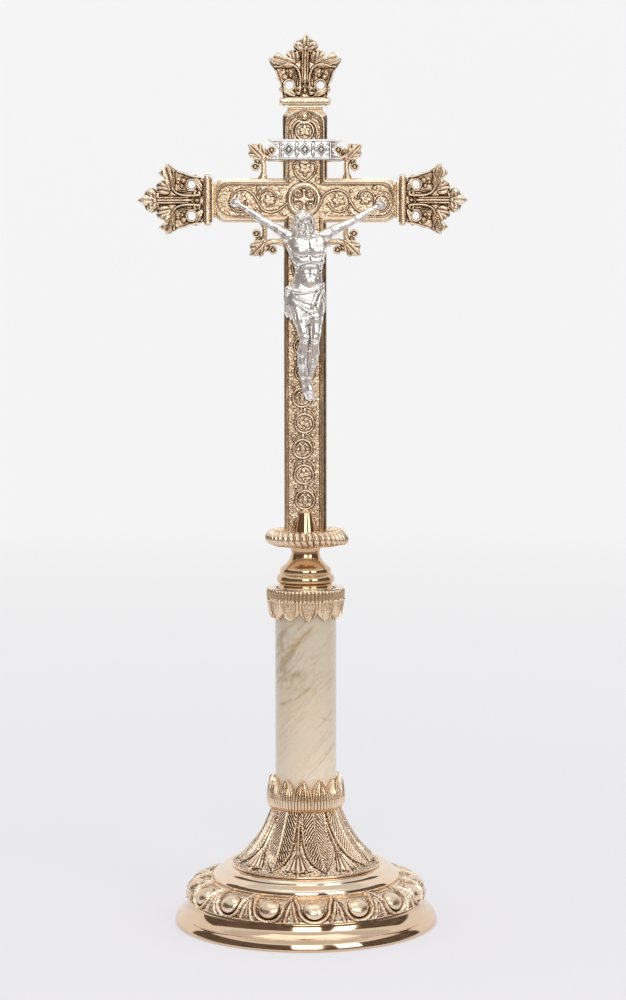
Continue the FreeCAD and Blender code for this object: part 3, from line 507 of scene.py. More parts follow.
def rubber():
    t = NT("gasket_rubber")
    tc = t.n("ShaderNodeTexCoord").outputs["Object"]
    n = t.noise(tc, 600.0, 4, 0.6)
    c = t.ramp(n, [(0.3, (0.03, 0.028, 0.025)), (0.7, (0.07, 0.065, 0.06))])
    p = t.n("ShaderNodeBsdfPrincipled")
    t.l(c, p.inputs["Base Color"])
    t.l(t.mapr(n, 0.2, 0.8, 0.6, 0.85), p.inputs["Roughness"])
    t.l(t.bump(n, 0.3, 0.0003), p.inputs["Normal"])
    out = t.n("ShaderNodeOutputMaterial")
    t.l(p.outputs[0], out.inputs[0])
    return t.mat


M_RUBBER = rubber()



# ------------------------------------------------------------------ turned pieces
def turned():
    # base rim: bottom band, bead line, hollow and seat
    rim = [(61.5, 0.0), (64.6, 0.0, 0.8), (65.5, 1.0, 1.0)]
    rim += arc3((65.3, 1.9), (64.75, 3.6), (63.7, 5.1), 9)
    rim += [(63.5, 5.45, 0.25), (62.95, 5.55, 0.2)]
    rim += arc3((62.75, 5.7), (60.0, 8.0), (58.6, 11.6), 22)
    rim += [(58.5, 12.0, 0.1), (50.0, 12.0), (50.0, 9.5), (56.2, 9.5), (59.4, 5.0)]
    lathe("base_rim_vis", rpoly(rim, closed=True), n=256, mat=M_RIM_PAINTED_SHADE, node="base_rim", slot="polished_brass", sharp=38)
    dome = [(44.0, 22.0), (46.35, 22.0, 0.15)]
    dome += arc3((46.5, 22.2), (46.5, 23.8), (45.95, 25.0), 14)
    dome += arc3((45.65, 25.35), (44.0, 26.25), (42.3, 27.05), 12)
    dome += arc3((42.15, 27.2), (41.75, 28.1), (41.05, 28.75), 10)
    dome += [(40.6, 29.0, 0.3), (38.8, 29.02), (37.2, 29.0)]
    dome += [(36.9, 29.0), (31.0, 29.0), (31.0, 26.4), (41.0, 24.6), (44.0, 23.2)]
    lathe("base_dome_vis", rpoly(dome, closed=True), n=256, mat=M_POL, node="base_dome", slot="polished_brass", sharp=38)
    knop = [(3.3, 167.0), (13.6, 167.0, 0.3)]
    knop += arc3((13.55, 167.4), (12.9, 169.0), (13.5, 170.3), 10)
    knop += [(14.0, 170.5, 0.2)]
    knop += arc3((14.1, 170.8), (14.25, 172.5), (13.2, 174.2), 14)
    knop += [(12.7, 174.35, 0.15)]
    knop += arc3((12.45, 174.7), (12.65, 176.0), (12.1, 177.4), 9)
    knop += [(11.9, 177.75, 0.15)]
    knop += arc3((11.6, 178.0), (8.6, 180.7), (7.1, 184.3), 20)
    knop += arc3((7.1, 184.5), (7.35, 186.6), (8.6, 188.5), 12)
    knop += [(8.6, 188.6), (3.3, 188.6)]
    lathe("neck_knop_vis", rpoly(knop, closed=True), n=192, mat=M_NECK_PAINTED_SHADE, node="neck_knop", slot="polished_brass", sharp=38)
    cone = [(3.05, 192.2), (6.6, 192.2, 0.25), (6.25, 194.0), (5.35, 199.0), (4.35, 204.6, 0.8), (3.3, 206.2, 1.0), (1.6, 206.75, 0.6),
            (0.01, 206.8), (0.01, 203.0), (3.05, 203.0)]
    lathe("socket_cone_vis", rpoly(cone, closed=True), n=128, mat=M_NECK_PAINTED_SHADE, node="cross_socket_cone", slot="polished_brass", sharp=38)
    col = [(4.0, 61.8), (14.5, 61.8, 0.1), (15.1, 62.4, 0.4), (15.1, 90.0), (15.1, 120.0), (15.1, 163.6, 0.4), (14.5, 164.2, 0.1), (4.0, 164.2)]
    lathe("column_vis", rpoly(col, closed=True), n=192, mat=M_MARBLE, node="marble_column", slot="column_marble", sharp=38, cav=False)


turned()


# ------------------------------------------------------------------ round cast ornament
def local_angle(th, count, offset_deg):
    p = 2 * math.pi / count
    return (th - math.radians(offset_deg) + p / 2) % p - p / 2


def stipple(x, y, size, seed=0):
    """Hammered or pricked ground: small soft pits, 0 to 1."""
    n = noise2(x / size, y / size, seed) * 0.6 + noise2(x / size * 1.9 + 7, y / size * 1.9, seed + 3) * 0.4
    return n


def egg_ring():
    prof = [(58.0, 12.0), (58.5, 12.35), (58.7, 13.0)] + arc3((58.7, 13.6), (57.5, 18.2), (53.4, 21.1), 20) + [(50.2, 22.1), (46.62, 22.1)]
    O = resample(rpoly(prof), 0.34)
    inner = [(45.8, 22.0), (44.0, 22.0), (44.0, 19.4), (50.0, 16.2), (50.0, 12.0), (54.0, 12.0)]
    s_all = np.r_[0, np.cumsum(np.linalg.norm(np.diff(O, axis=0), axis=1))]
    se = float(np.interp(18.6, O[:, 1], s_all))

    def disp(TH, S, O, s):
        phi = local_angle(TH, 16, 4.0)
        R = np.repeat(O[None, :, 0], TH.shape[0], 0)
        u = phi * R
        half = math.pi / 16 * R
        v = S - se
        h = -0.6 + 0.30 * stipple(TH * 56, S, 0.6, 5)
        vv = v - 0.5
        qe = np.sqrt((u / 5.15) ** 2 + (vv / np.where(vv > 0, 6.4, 5.2)) ** 2)
        egg = 2.05 * np.sqrt(np.clip(1 - qe ** 2.2, 0, 1)) - 0.75
        # U-shaped frame: an ellipse below, arms opening to the upper edge
        low = np.minimum(v - 0.4, 0.0)
        wide = 7.25 + (0.90 * half - 7.25) * ss(0.4, 10.5, v)
        qf = np.sqrt((u / wide) ** 2 + (low / 6.25) ** 2)
        frame_h = 1.75 * np.exp(-(np.abs(qf - 1.0) / 0.115) ** 2.6)
        cup = -0.5 * ss(1.0, 0.84, qf) * ss(9.5, 2.0, v)
        ud = half - np.abs(u)
        outside = ss(1.05, 1.17, qf)
        t = np.clip((v + 6.8) / 13.0, 0, 1)
        mid = 0.9 * np.exp(-(ud / 0.5) ** 2) * ss(0.86, 0.74, t) * ss(0.22, 0.42, t)
        side = 1.35 * np.exp(-(np.abs(ud - 3.7 * (1 - t) ** 1.3) / 0.86) ** 2.4) * ss(1.0, 0.88, t)
        h = h + cup + frame_h + outside * np.maximum(mid, side)
        h = np.maximum(h, np.where(qe < 1, egg, -9))
        edge = ss(0.5, 1.5, S) * ss(s[-1], s[-1] - 1.6, S)
        bead = 0.28 * np.exp(-((S - 1.25) / 0.45) ** 2)
        return h * edge + bead
    relief_ring("egg_ring_vis", O, inner, 1440, disp, mat=M_CAST, node="egg_and_dart_ring", slot="cast_brass", sharp=60)


def flare():
    rim = [(36.2, 29.0), (36.75, 29.35), (36.8, 29.8), (36.5, 30.2), (35.95, 30.4), (35.6, 30.55)]
    curve = spline([(35.6, 30.55), (34.4, 31.1), (32.6, 32.4), (30.4, 34.4), (27.9, 37.0), (25.4, 40.1), (23.2, 43.3),
                    (21.1, 46.6), (19.4, 49.9), (18.0, 53.2), (16.8, 56.2), (16.1, 58.0)], 6)
    O = resample(np.concatenate([np.array(rim), curve[1:]]), 0.30)
    inner = [(14.0, 58.0), (3.3, 58.0), (3.3, 55.0), (14.6, 55.0), (15.8, 50.6), (18.6, 44.2), (24.2, 36.6), (30.6, 31.2), (31.0, 29.0)]
    s_all = np.r_[0, np.cumsum(np.linalg.norm(np.diff(O, axis=0), axis=1))]
    k0 = int(np.argmin(np.abs(O[:, 1] - 31.35) + (O[:, 0] < 30) * 9))
    s_tip = s_all[k0]

    def disp(TH, S, O, s):
        R = np.repeat(O[None, :, 0], TH.shape[0], 0)
        sl = S - s_tip
        twist = math.radians(2.0) * np.clip((12 - sl) / 12, -1, 1)
        phi = local_angle(TH - twist, 8, 14.0)
        u = phi * R
        half = math.pi / 8 * R
        w = np.interp(sl, [-0.2, 0.6, 1.6, 3.2, 5.5, 10, 17, 25, 33], [0.05, 0.7, 1.6, 3.0, 4.8, 6.4, 6.8, 6.2, 5.8])
        a = np.abs(u) / w
        body = 0.45 * np.sqrt(np.clip(1 - np.clip(a, 0, 1) ** 4, 0, 1)) + 0.25 * (a - 0.5) * ss(0.2, 0.6, a)
        border = 0.55 * np.exp(-((a - 0.93) / 0.055) ** 2)
        groove = -0.16 * np.exp(-((a - 0.82) / 0.05) ** 2)
        ribw = np.interp(sl, [0, 12, 33], [0.40, 0.66, 0.72])
        rib = 1.05 * np.exp(-(u / ribw) ** 2) * ss(-0.2, 1.5, sl)
        jit = 0.5 * noise2(TH * 11, sl * 0.55, 21)
        barbs = 0.62 * (2 * np.abs(np.cos(math.pi * (sl + 1.45 * np.abs(u) + jit) / 1.9)) ** 0.8 - 1)
        barbs = barbs * ss(0.06, 0.16, a) * ss(0.90, 0.82, a) * ss(0.6, 2.2, sl)
        leaf = body + border + groove + rib + barbs
        inside = (a < 1.0) & (sl > -0.2)
        # short leaves between, fanning from a stem
        ud = half - np.abs(u)
        stem = 0.9 * np.exp(-(ud / 0.6) ** 2) * ss(30, 18, sl)
        fan = np.zeros_like(u)
        top = 13.5
        run = np.clip(top - sl, 0, None)
        wf = np.clip(run * 0.50, 0.01, 5.9) * ss(0.2, 1.6, sl + 0.35 * np.abs(np.sin(ud * 1.9)))
        af = ud / np.maximum(wf, 0.01)
        inf = (af < 1) & (sl > 0.2) & (sl < top)
        fanbody = 0.80 * np.sqrt(np.clip(1 - np.clip(af, 0, 1) ** 3, 0, 1)) + 0.36 * np.cos(af * math.pi * 4.2) * ss(0, 3, run)
        fan = np.where(inf, fanbody, 0.0)
        ground = 0.42 * stipple(TH * 30, S, 0.75, 9) + 0.16 * stipple(TH * 30, S, 0.36, 4) - 0.3
        top_h = np.maximum(stem, fan)
        h = ground * ss(0.5, 0.1, top_h) + top_h
        shade = -0.35 * np.exp(-((a - 1.06) / 0.07) ** 2)
        h = np.where(inside, leaf, h + shade)
        h = h * ss(1.2, 2.0, S) * ss(s[-1], s[-1] - 0.8, S)
        return h
    relief_ring("leaf_foot_vis", O, inner, 720, disp, mat=M_CAST, node="leaf_flare_foot", slot="cast_brass", sharp=60)


def leaf_band(name, node, z_root, z_valley, z_tip, outer_r, inner_r, offset, reeds_top=None, n=780, rows=52, seed=3, cup=True):
    """Twelve leaves standing on (or hanging from) a band; the free edge follows the leaf tips."""
    th = np.linspace(0, 2 * math.pi, n, endpoint=False)
    phi = local_angle(th, 12, offset)
    a0 = np.abs(phi) / math.radians(15)
    pw = 0.56
    zt = z_valley + (z_tip - z_valley) * (1 - a0) ** pw
    t = np.linspace(0, 1, rows)
    TH, T = np.meshgrid(th, t, indexing="ij")
    Z = z_root + (zt[:, None] - z_root) * T
    R = outer_r(Z)
    PHI = np.repeat(phi[:, None], rows, 1)
    rise = np.clip((Z - z_valley) / (z_tip - z_valley), 0, 0.999)
    edge = np.where(rise > 0, 1 - rise ** (1 / pw), 1.0)
    edge = np.maximum(edge, 0.06)
    A = PHI / math.radians(15) / edge          # -1..1 across the leaf
    A = np.clip(A, -1, 1)
    aa = np.abs(A)
    if cup:
        U = PHI * 18.9
        og = np.clip((Z - 61.0) / (z_tip - 61.0), 0, 0.999)
        wo = 4.95 * (1 - og ** 2.1) ** 0.62
        B = np.abs(U) / np.maximum(wo, 0.3)
        crest = np.abs(np.cos(3 * math.pi * B)) ** 0.75
        inner = (B > 1 / 6) & (B < 0.5)
        crest = np.where(inner, crest * ss(0.80, 0.45, og), crest)
        crest = np.where(B > 1.0, ss(1.25, 1.0, B), crest)
        h = 0.80 * crest - 0.22 + 0.20 * ss(0.35, 0.8, og) * np.exp(-(B / 0.16) ** 2)
        h = h + 0.04 * stipple(TH * 18.8, Z, 0.5, seed)
        h += -0.4 * np.exp(-((np.abs(PHI) - math.radians(15)) / math.radians(0.9)) ** 2) * ss(0.25, 0.0, rise)
    else:
        U = PHI * 18.5
        og = np.clip((162.4 - Z) / (162.4 - z_tip), 0, 0.999)
        wo = 4.75 * (1 - og ** 2.3) ** 0.60
        B = np.abs(U) / np.maximum(wo, 0.3)
        bord = 0.80 * np.exp(-(np.abs(B - 0.86) / 0.15) ** 2.4) + 0.40 * np.exp(-((B - 0.52) / 0.08) ** 2) * ss(0.86, 0.6, og)
        mid = 0.36 * np.exp(-(B / 0.10) ** 2) + 0.22 * np.exp(-((B - 0.27) / 0.06) ** 2) * ss(0.7, 0.4, og)
        st = 0.10 * stipple(TH * 18.8, Z, 0.55, seed) * ss(0.72, 0.6, B)
        low = ss(z_root - 5.0, z_root - 5.8, Z)
        h = (bord + mid + st - 0.12) * low
        reed = 0.90 * np.abs(np.cos(30 * (TH - math.radians(offset)))) ** 0.6 - 0.38
        drop = 5.3 + 0.35 * np.abs(np.cos(30 * (TH - math.radians(offset))))
        h += reed * ss(z_root - drop - 0.9, z_root - drop + 0.6, Z) * ss(z_root - 0.35, z_root - 0.75, Z)
        h += -0.12 * np.exp(-((np.abs(PHI) - math.radians(15)) / math.radians(0.8)) ** 2) * low
    h = h * ss(0, 0.012, T)
    R = R + h
    # round the free edge over to the inner wall
    sgn = 1.0 if z_tip > z_root else -1.0
    k = ss(0.965, 1.0, T)
    R = R - 0.45 * k
    cols = [np.stack([R, Z], axis=2)]
    lip = np.stack([np.full(n, inner_r + 0.35), zt + sgn * 0.05], axis=1)[:, None, :]
    lip2 = np.stack([np.full(n, inner_r), zt - sgn * 0.45], axis=1)[:, None, :]
    cols += [lip, lip2]
    if cup:
        seat = [(inner_r, 61.0), (3.3, 61.0), (3.3, z_root), (10.0, z_root)]
    else:
        seat = [(inner_r, 165.0), (3.3, 165.0), (3.3, 167.0), (13.7, 167.0), (15.0, 167.45), (17.0, z_root), (18.2, z_root)]
    for r, z in seat:
        cols.append(np.repeat(np.array([[[r, z]]]), n, 0))
    G = np.concatenate(cols, axis=1)
    V = np.stack([G[:, :, 0] * np.sin(th)[:, None], -G[:, :, 0] * np.cos(th)[:, None], G[:, :, 1]], axis=2)
    q = grid_faces(n, V.shape[1], wrap_u=True, wrap_v=True, flip=not cup)
    build(name, V.reshape(-1, 3), q, mat=M_CUP_PAINTED_HIGHLIGHT, node=node, slot="cast_brass", sharp=62)


def leaf_cups():
    rc = lambda Z: np.interp(Z, [58.0, 58.6, 59.6, 61.2, 63.5, 66.5, 70.0, 74.2], [17.3, 17.9, 18.5, 18.85, 18.95, 18.7, 18.0, 17.0])
    leaf_band("lower_cup_vis", "lower_leaf_cup", 58.0, 67.0, 73.7, rc, 15.15, -5.0, seed=3)
    ru = lambda Z: np.interp(Z, [152.2, 154.5, 157.5, 160.5, 163.0, 166.2, 167.0], [17.0, 17.5, 18.1, 18.6, 18.9, 19.0, 18.9])
    leaf_band("upper_cap_vis", "upper_leaf_cap", 167.7, 157.0, 152.2, ru, 15.15, 4.5, n=840, cup=False, seed=8)


def collar():
    prof = [(13.6, 188.6), (15.5, 188.75), (17.6, 189.4), (19.2, 190.6), (19.95, 192.0), (19.7, 193.5), (18.6, 194.8),
            (16.8, 195.5), (15.0, 195.1), (13.8, 193.9), (13.1, 192.5)]
    O = resample(spline(prof, 6), 0.36)
    inner = [(12.4, 192.2), (3.3, 192.2), (3.3, 188.6), (9.0, 188.6)]

    def disp(TH, S, O, s):
        lobes = np.abs(np.sin(19 * TH + 0.14 * (S - s[-1] / 2)))
        wob = 0.10 * noise2(TH * 9, S * 0.3, 4)
        h = 1.5 * lobes ** 0.75 - 0.85 + wob
        return h * ss(0, 2.2, S) * ss(s[-1], s[-1] - 2.0, S)
    ob = relief_ring("rope_collar_vis", O, inner, 912, disp, mat=M_CAST, node="rope_collar", slot="cast_brass", sharp=60)
    # the rim sits a touch off centre and out of level, higher on the right
    me = ob.data
    co = np.empty(len(me.vertices) * 3, np.float32)
    me.vertices.foreach_get("co", co)
    co = co.reshape(-1, 3)
    r = np.hypot(co[:, 0], co[:, 1]) / MM
    right = ss(0.45, 1.0, co[:, 0] / MM / np.maximum(r, 1.0))
    co[:, 2] += (co[:, 0] * math.tan(math.radians(0.35)) * ss(12.8, 17.0, r)).astype(np.float32)
    co[:, 2] -= (0.0017 * ss(17.2, 20.6, r) * right).astype(np.float32)
    co[:, 0] += (0.0005 * ss(12.8, 17.0, r) + 0.0003 * ss(18.0, 20.6, r) * right).astype(np.float32)
    co[:, 2] += (0.0003 * ss(12.8, 17.0, r)).astype(np.float32)
    me.vertices.foreach_set("co", co.ravel())
    me.update()


egg_ring()
flare()
leaf_cups()
collar()


# ------------------------------------------------------------------ relief plates
def poly_sdf(P, x, z):
    """Signed distance (negative inside) from points to a closed polygon."""
    P = np.asarray(P, float)
    Q = np.roll(P, -1, axis=0)
    d2 = np.full(x.shape, 1e18)
    inside = np.zeros(x.shape, bool)
    for (ax, az), (bx, bz) in zip(P, Q):
        ex, ez = bx - ax, bz - az
        L = ex * ex + ez * ez
        if L < 1e-12:
            continue
        t = np.clip(((x - ax) * ex + (z - az) * ez) / L, 0, 1)
        dx, dz = x - ax - ex * t, z - az - ez * t
        d2 = np.minimum(d2, dx * dx + dz * dz)
        if abs(ez) > 1e-12:
            cond = (az > z) != (bz > z)
            xi = ax + (z - az) * ex / ez
            inside ^= cond & (x < xi)
    d = np.sqrt(d2)
    return np.where(inside, -d, d)


def plate_grid(sdf, box, step):
    """Grid cells inside the outline, with the border vertices pulled onto it."""
    x0, x1, z0, z1 = box
    nx, nz = int(math.ceil((x1 - x0) / step)) + 1, int(math.ceil((z1 - z0) / step)) + 1
    gx, gz = x0 + np.arange(nx) * step, z0 + np.arange(nz) * step
    X, Z = np.meshgrid(gx, gz, indexing="ij")
    D = sdf(X.ravel(), Z.ravel()).reshape(X.shape)
    keep = D < 0.42 * step
    cell = keep[:-1, :-1] & keep[1:, :-1] & keep[1:, 1:] & keep[:-1, 1:]
    # drop cells that would touch only by a corner
    for _ in range(3):
        a, b, c, d = cell[:-1, :-1], cell[1:, :-1], cell[1:, 1:], cell[:-1, 1:]
        bad1 = a & c & ~b & ~d
        bad2 = b & d & ~a & ~c
        if not (bad1.any() or bad2.any()):
            break
        cell[:-1, :-1][bad1] = False
        cell[1:, :-1][bad2] = False
    I, J = np.nonzero(cell)
    ids = np.full(X.shape, -1)
    used = np.zeros(X.shape, bool)
    for di, dj in ((0, 0), (1, 0), (1, 1), (0, 1)):
        used[I + di, J + dj] = True
    ids[used] = np.arange(used.sum())
    quads = np.stack([ids[I, J], ids[I + 1, J], ids[I + 1, J + 1], ids[I, J + 1]], axis=1)
    x, z = X[used].copy(), Z[used].copy()
    e = np.concatenate([quads[:, [k, (k + 1) % 4]] for k in range(4)])
    key = {}
    lo, hi = np.minimum(e[:, 0], e[:, 1]).astype(np.int64), np.maximum(e[:, 0], e[:, 1]).astype(np.int64)
    code = lo * (len(x) + 1) + hi
    order = np.argsort(code, kind="stable")
    cs = code[order]
    uniq = np.ones(len(cs), bool)
    uniq[1:] &= cs[1:] != cs[:-1]
    uniq[:-1] &= cs[:-1] != cs[1:]
    border = e[order[uniq]]
    bv = np.unique(border)
    for _ in range(4):
        bx, bz = x[bv], z[bv]
        h = 0.02
        d0 = sdf(bx, bz)
        gxx = (sdf(bx + h, bz) - sdf(bx - h, bz)) / (2 * h)
        gzz = (sdf(bx, bz + h) - sdf(bx, bz - h)) / (2 * h)
        g = np.maximum(gxx ** 2 + gzz ** 2, 0.25)
        x[bv] = bx - np.clip(d0 * gxx / g, -step, step)
        z[bv] = bz - np.clip(d0 * gzz / g, -step, step)
    nxt = {int(a): int(b) for a, b in border}
    loops = []
    seen = set()
    for a in nxt:
        if a in seen:
            continue
        loop = [a]
        seen.add(a)
        b = nxt[a]
        while b != a and b not in seen and b in nxt:
            loop.append(b)
            seen.add(b)
            b = nxt[b]
        loops.append(np.array(loop))
    return x, z, quads, border, loops


def plate(name, sdf, box, step, front, back, back_inset=0.6, back_edge=0.6, wall=2, cuts=(), **kw):
    """A cast plate in the XZ plane: front(x, z, d) gives the y of the near face; back is a y value (flat back
    with a chamfer) or a function like front."""
    x, z, quads, border, loops = plate_grid(sdf, box, step)
    d = -sdf(x, z)
    yf = front(x, z, np.maximum(d, 0.0))
    V = [np.stack([x, yf, z], axis=1)]
    n0 = len(x)
    q = [quads]
    bv = np.unique(border)
    where = np.full(n0, -1)
    where[bv] = np.arange(len(bv))
    a, b = border[:, 0], border[:, 1]
    if callable(back):
        yb = back(x, z, np.maximum(d, 0.0))
        prev = None
        base = n0
        for k in range(1, wall):
            w = k / wall
            V.append(np.stack([x[bv], yf[bv] * (1 - w) + yb[bv] * w, z[bv]], axis=1))
            ring = base + where
            pa, pb = (a, b) if prev is None else (prev[a], prev[b])
            q.append(np.stack([pb, pa, ring[a], ring[b]], axis=1))
            prev = ring
            base += len(bv)
        V.append(np.stack([x, yb, z], axis=1))
        pa, pb = (a, b) if prev is None else (prev[a], prev[b])
        q.append(np.stack([pb, pa, base + a, base + b], axis=1))
        q.append(base + quads[:, ::-1])
        return build(name, np.concatenate(V), np.concatenate(q), **kw)
    h = 0.02
    bx, bz = x[bv], z[bv]
    gx = (sdf(bx + h, bz) - sdf(bx - h, bz)) / (2 * h)
    gz = (sdf(bx, bz + h) - sdf(bx, bz - h)) / (2 * h)
    prev, base = None, n0
    rows = [(0.0, back - back_edge), (back_inset * 0.3, back - back_edge * 0.3), (back_inset, back)]
    for ins, y in rows:
        px, pz = bx - gx * ins, bz - gz * ins
        for _ in range(3 if ins > 0 else 0):
            short = np.clip(ins + sdf(px, pz), 0, ins)
            hx = (sdf(px + h, pz) - sdf(px - h, pz)) / (2 * h)
            hz = (sdf(px, pz + h) - sdf(px, pz - h)) / (2 * h)
            px, pz = px - hx * short, pz - hz * short
        V.append(np.stack([px, np.full(len(bv), y), pz], axis=1))
        ring = base + where
        pa, pb = (a, b) if prev is None else (prev[a], prev[b])
        q.append(np.stack([pb, pa, ring[a], ring[b]], axis=1))
        prev = ring
        base += len(bv)
    # the flat back is cut into simple pieces at the given chords
    pieces = [list(prev[loop]) for loop in loops]
    A = np.concatenate(V)
    for (x0, z0), (x1, z1) in cuts:
        done = []
        for pc in pieces:
            pp = A[pc]
            i = int(np.argmin(np.hypot(pp[:, 0] - x0, pp[:, 2] - z0)))
            j = int(np.argmin(np.hypot(pp[:, 0] - x1, pp[:, 2] - z1)))
            if min(np.hypot(*(pp[i, [0, 2]] - (x0, z0))), 1e9) > 1.5 or i == j:
                done.append(pc)
                continue
            i, j = min(i, j), max(i, j)
            done += [pc[i:j + 1], pc[j:] + pc[:i + 1]]
        pieces = done
    ng = [np.array(pc)[::-1] for pc in pieces]
    return build(name, A, np.concatenate(q), ngons=ng, crisp=bv, **kw)


class Relief:
    """Height field over scattered points, built up from cords, beads, lobes and rings."""
    def __init__(self, x, z):
        self.x, self.z, self.h = x, z, np.zeros_like(x)

    def near(self, x0, x1, z0, z1):
        return np.nonzero((self.x > x0) & (self.x < x1) & (self.z > z0) & (self.z < z1))[0]

    def put(self, m, h, mode="max"):
        if mode == "max":
            self.h[m] = np.maximum(self.h[m], h)
        else:
            self.h[m] += h

    def cord(self, pts, w, h, t0=1.0, t1=1.0, n=7, smooth=True, groove=0.0):
        P = spline(pts, n) if smooth and len(pts) > 2 else np.array(pts, float)
        m = self.near(P[:, 0].min() - w * 1.6, P[:, 0].max() + w * 1.6, P[:, 1].min() - w * 1.6, P[:, 1].max() + w * 1.6)
        if not len(m):
            return self
        x, z = self.x[m], self.z[m]
        L = np.r_[0, np.cumsum(np.linalg.norm(np.diff(P, axis=0), axis=1))]
        best, tt = np.full(len(m), 1e9), np.zeros(len(m))
        for i in range(len(P) - 1):
            ax, az = P[i]
            ex, ez = P[i + 1] - P[i]
            l2 = ex * ex + ez * ez + 1e-12
            t = np.clip(((x - ax) * ex + (z - az) * ez) / l2, 0, 1)
            d = np.hypot(x - ax - ex * t, z - az - ez * t)
            k = d < best
            best[k] = d[k]
            tt[k] = ((L[i] + t * (L[i + 1] - L[i])) / L[-1])[k]
        ww = w * (t0 + (t1 - t0) * tt)
        q = best / ww
        hh = h * (0.55 + 0.45 * ww / w) * np.sqrt(np.clip(1 - q * q, 0, 1))
        if groove:
            hh = hh - groove * np.exp(-((q - 1.25) / 0.28) ** 2)
            self.h[m] = np.where(q < 1, np.maximum(self.h[m], hh), self.h[m] + np.minimum(hh, 0))
        else:
            self.put(m, hh)
        return self

    def ring(self, cx, cz, r, w, h, a0=None, a1=None):
        m = self.near(cx - r - w, cx + r + w, cz - r - w, cz + r + w)
        dx, dz = self.x[m] - cx, self.z[m] - cz
        q = np.abs(np.hypot(dx, dz) - r) / w
        hh = h * np.sqrt(np.clip(1 - q * q, 0, 1))
        if a0 is not None:
            ang = np.degrees(np.arctan2(dz, dx)) % 360
            ok = ((ang - a0) % 360) < ((a1 - a0) % 360)
            hh = np.where(ok, hh, 0)
        self.put(m, hh)
        return self

    def bead(self, cx, cz, r, h, rz=None, ang=0.0):
        rz = rz or r
        k = max(r, rz)
        m = self.near(cx - k, cx + k, cz - k, cz + k)
        dx, dz = self.x[m] - cx, self.z[m] - cz
        c, s = math.cos(math.radians(ang)), math.sin(math.radians(ang))
        q = ((dx * c + dz * s) / r) ** 2 + ((-dx * s + dz * c) / rz) ** 2
        self.put(m, h * np.sqrt(np.clip(1 - q, 0, 1)))
        return self

    def pit(self, cx, cz, r, depth):
        m = self.near(cx - r * 1.6, cx + r * 1.6, cz - r * 1.6, cz + r * 1.6)
        q = np.hypot(self.x[m] - cx, self.z[m] - cz) / r
        self.h[m] -= depth * np.exp(-q ** 2 * 1.6)
        return self

    def lobe(self, cx, cz, ang, L, W, h, fold=0.25):
        """A petal springing from (cx, cz) in direction ang (degrees from +x)."""
        k = L + W
        m = self.near(cx - k, cx + k, cz - k, cz + k)
        c, s = math.cos(math.radians(ang)), math.sin(math.radians(ang))
        dx, dz = self.x[m] - cx, self.z[m] - cz
        u, v = dx * c + dz * s, -dx * s + dz * c
        t = np.clip(u / L, 0, 1)
        w = W * np.sqrt(np.clip(np.sin(math.pi * t ** 0.8), 0, 1)) + 1e-3
        q = np.abs(v) / w
        ok = (u > 0) & (u < L) & (q < 1)
        hh = h * np.sqrt(np.clip(1 - q * q, 0, 1)) * (0.75 + 0.25 * np.sin(math.pi * t)) - fold * h * np.exp(-(q / 0.28) ** 2)
        self.put(m, np.where(ok, hh, 0))
        return self

    def leaf(self, cx, cz, ang, size, h, lobes=3, fold=0.25):
        fan = {3: (-95, 0, 95), 5: (-128, -62, 0, 62, 128)}[lobes]
        for a in fan:
            L = size * (1.15 if a == 0 else 0.95)
            self.lobe(cx, cz, ang + a, L, size * (0.42 if lobes == 3 else 0.34), h, fold)
        self.bead(cx, cz, size * 0.26, h * 0.9)
        return self


# ---- the cross itself
def cross_outline():
    R = [(10.4, 192.2), (10.4, 346.95), (39.6, 346.95)] + arc3((39.9, 347.0), (42.2, 348.0), (43.3, 349.3), 8)
    R += [(44.2, 349.3), (44.2, 366.3)] + arc3((43.3, 366.3), (42.2, 367.6), (39.9, 368.28), 8)
    R += [(39.6, 368.3), (10.85, 368.3), (10.85, 397.2)] + arc3((10.8, 397.6), (10.0, 399.8), (8.5, 401.0), 8) + [(8.5, 401.8)]
    L = [(-x, z) for x, z in R[::-1]]
    return np.array(R + L)


def panel_outline():
    R = [(6.9, 180.0), (6.9, 350.1), (37.2, 350.2)] + arc3((38.0, 350.4), (43.0, 357.7), (38.0, 365.0), 14)
    R += [(37.2, 365.05), (7.35, 365.05), (7.35, 393.2), (7.0, 395.2), (5.9, 396.7), (4.5, 397.5)]
    R += arc3((4.25, 397.9), (-0.3, 401.0), (-4.85, 397.9), 12)
    R += [(-5.1, 397.5), (-6.5, 396.7), (-7.5, 395.2), (-7.75, 393.2), (-7.75, 365.05), (-37.2, 365.05)]
    R += arc3((-38.0, 365.0), (-43.0, 357.7), (-38.0, 350.4), 14) + [(-37.2, 350.2), (-8.3, 350.1), (-8.3, 180.0)]
    return np.array(R)


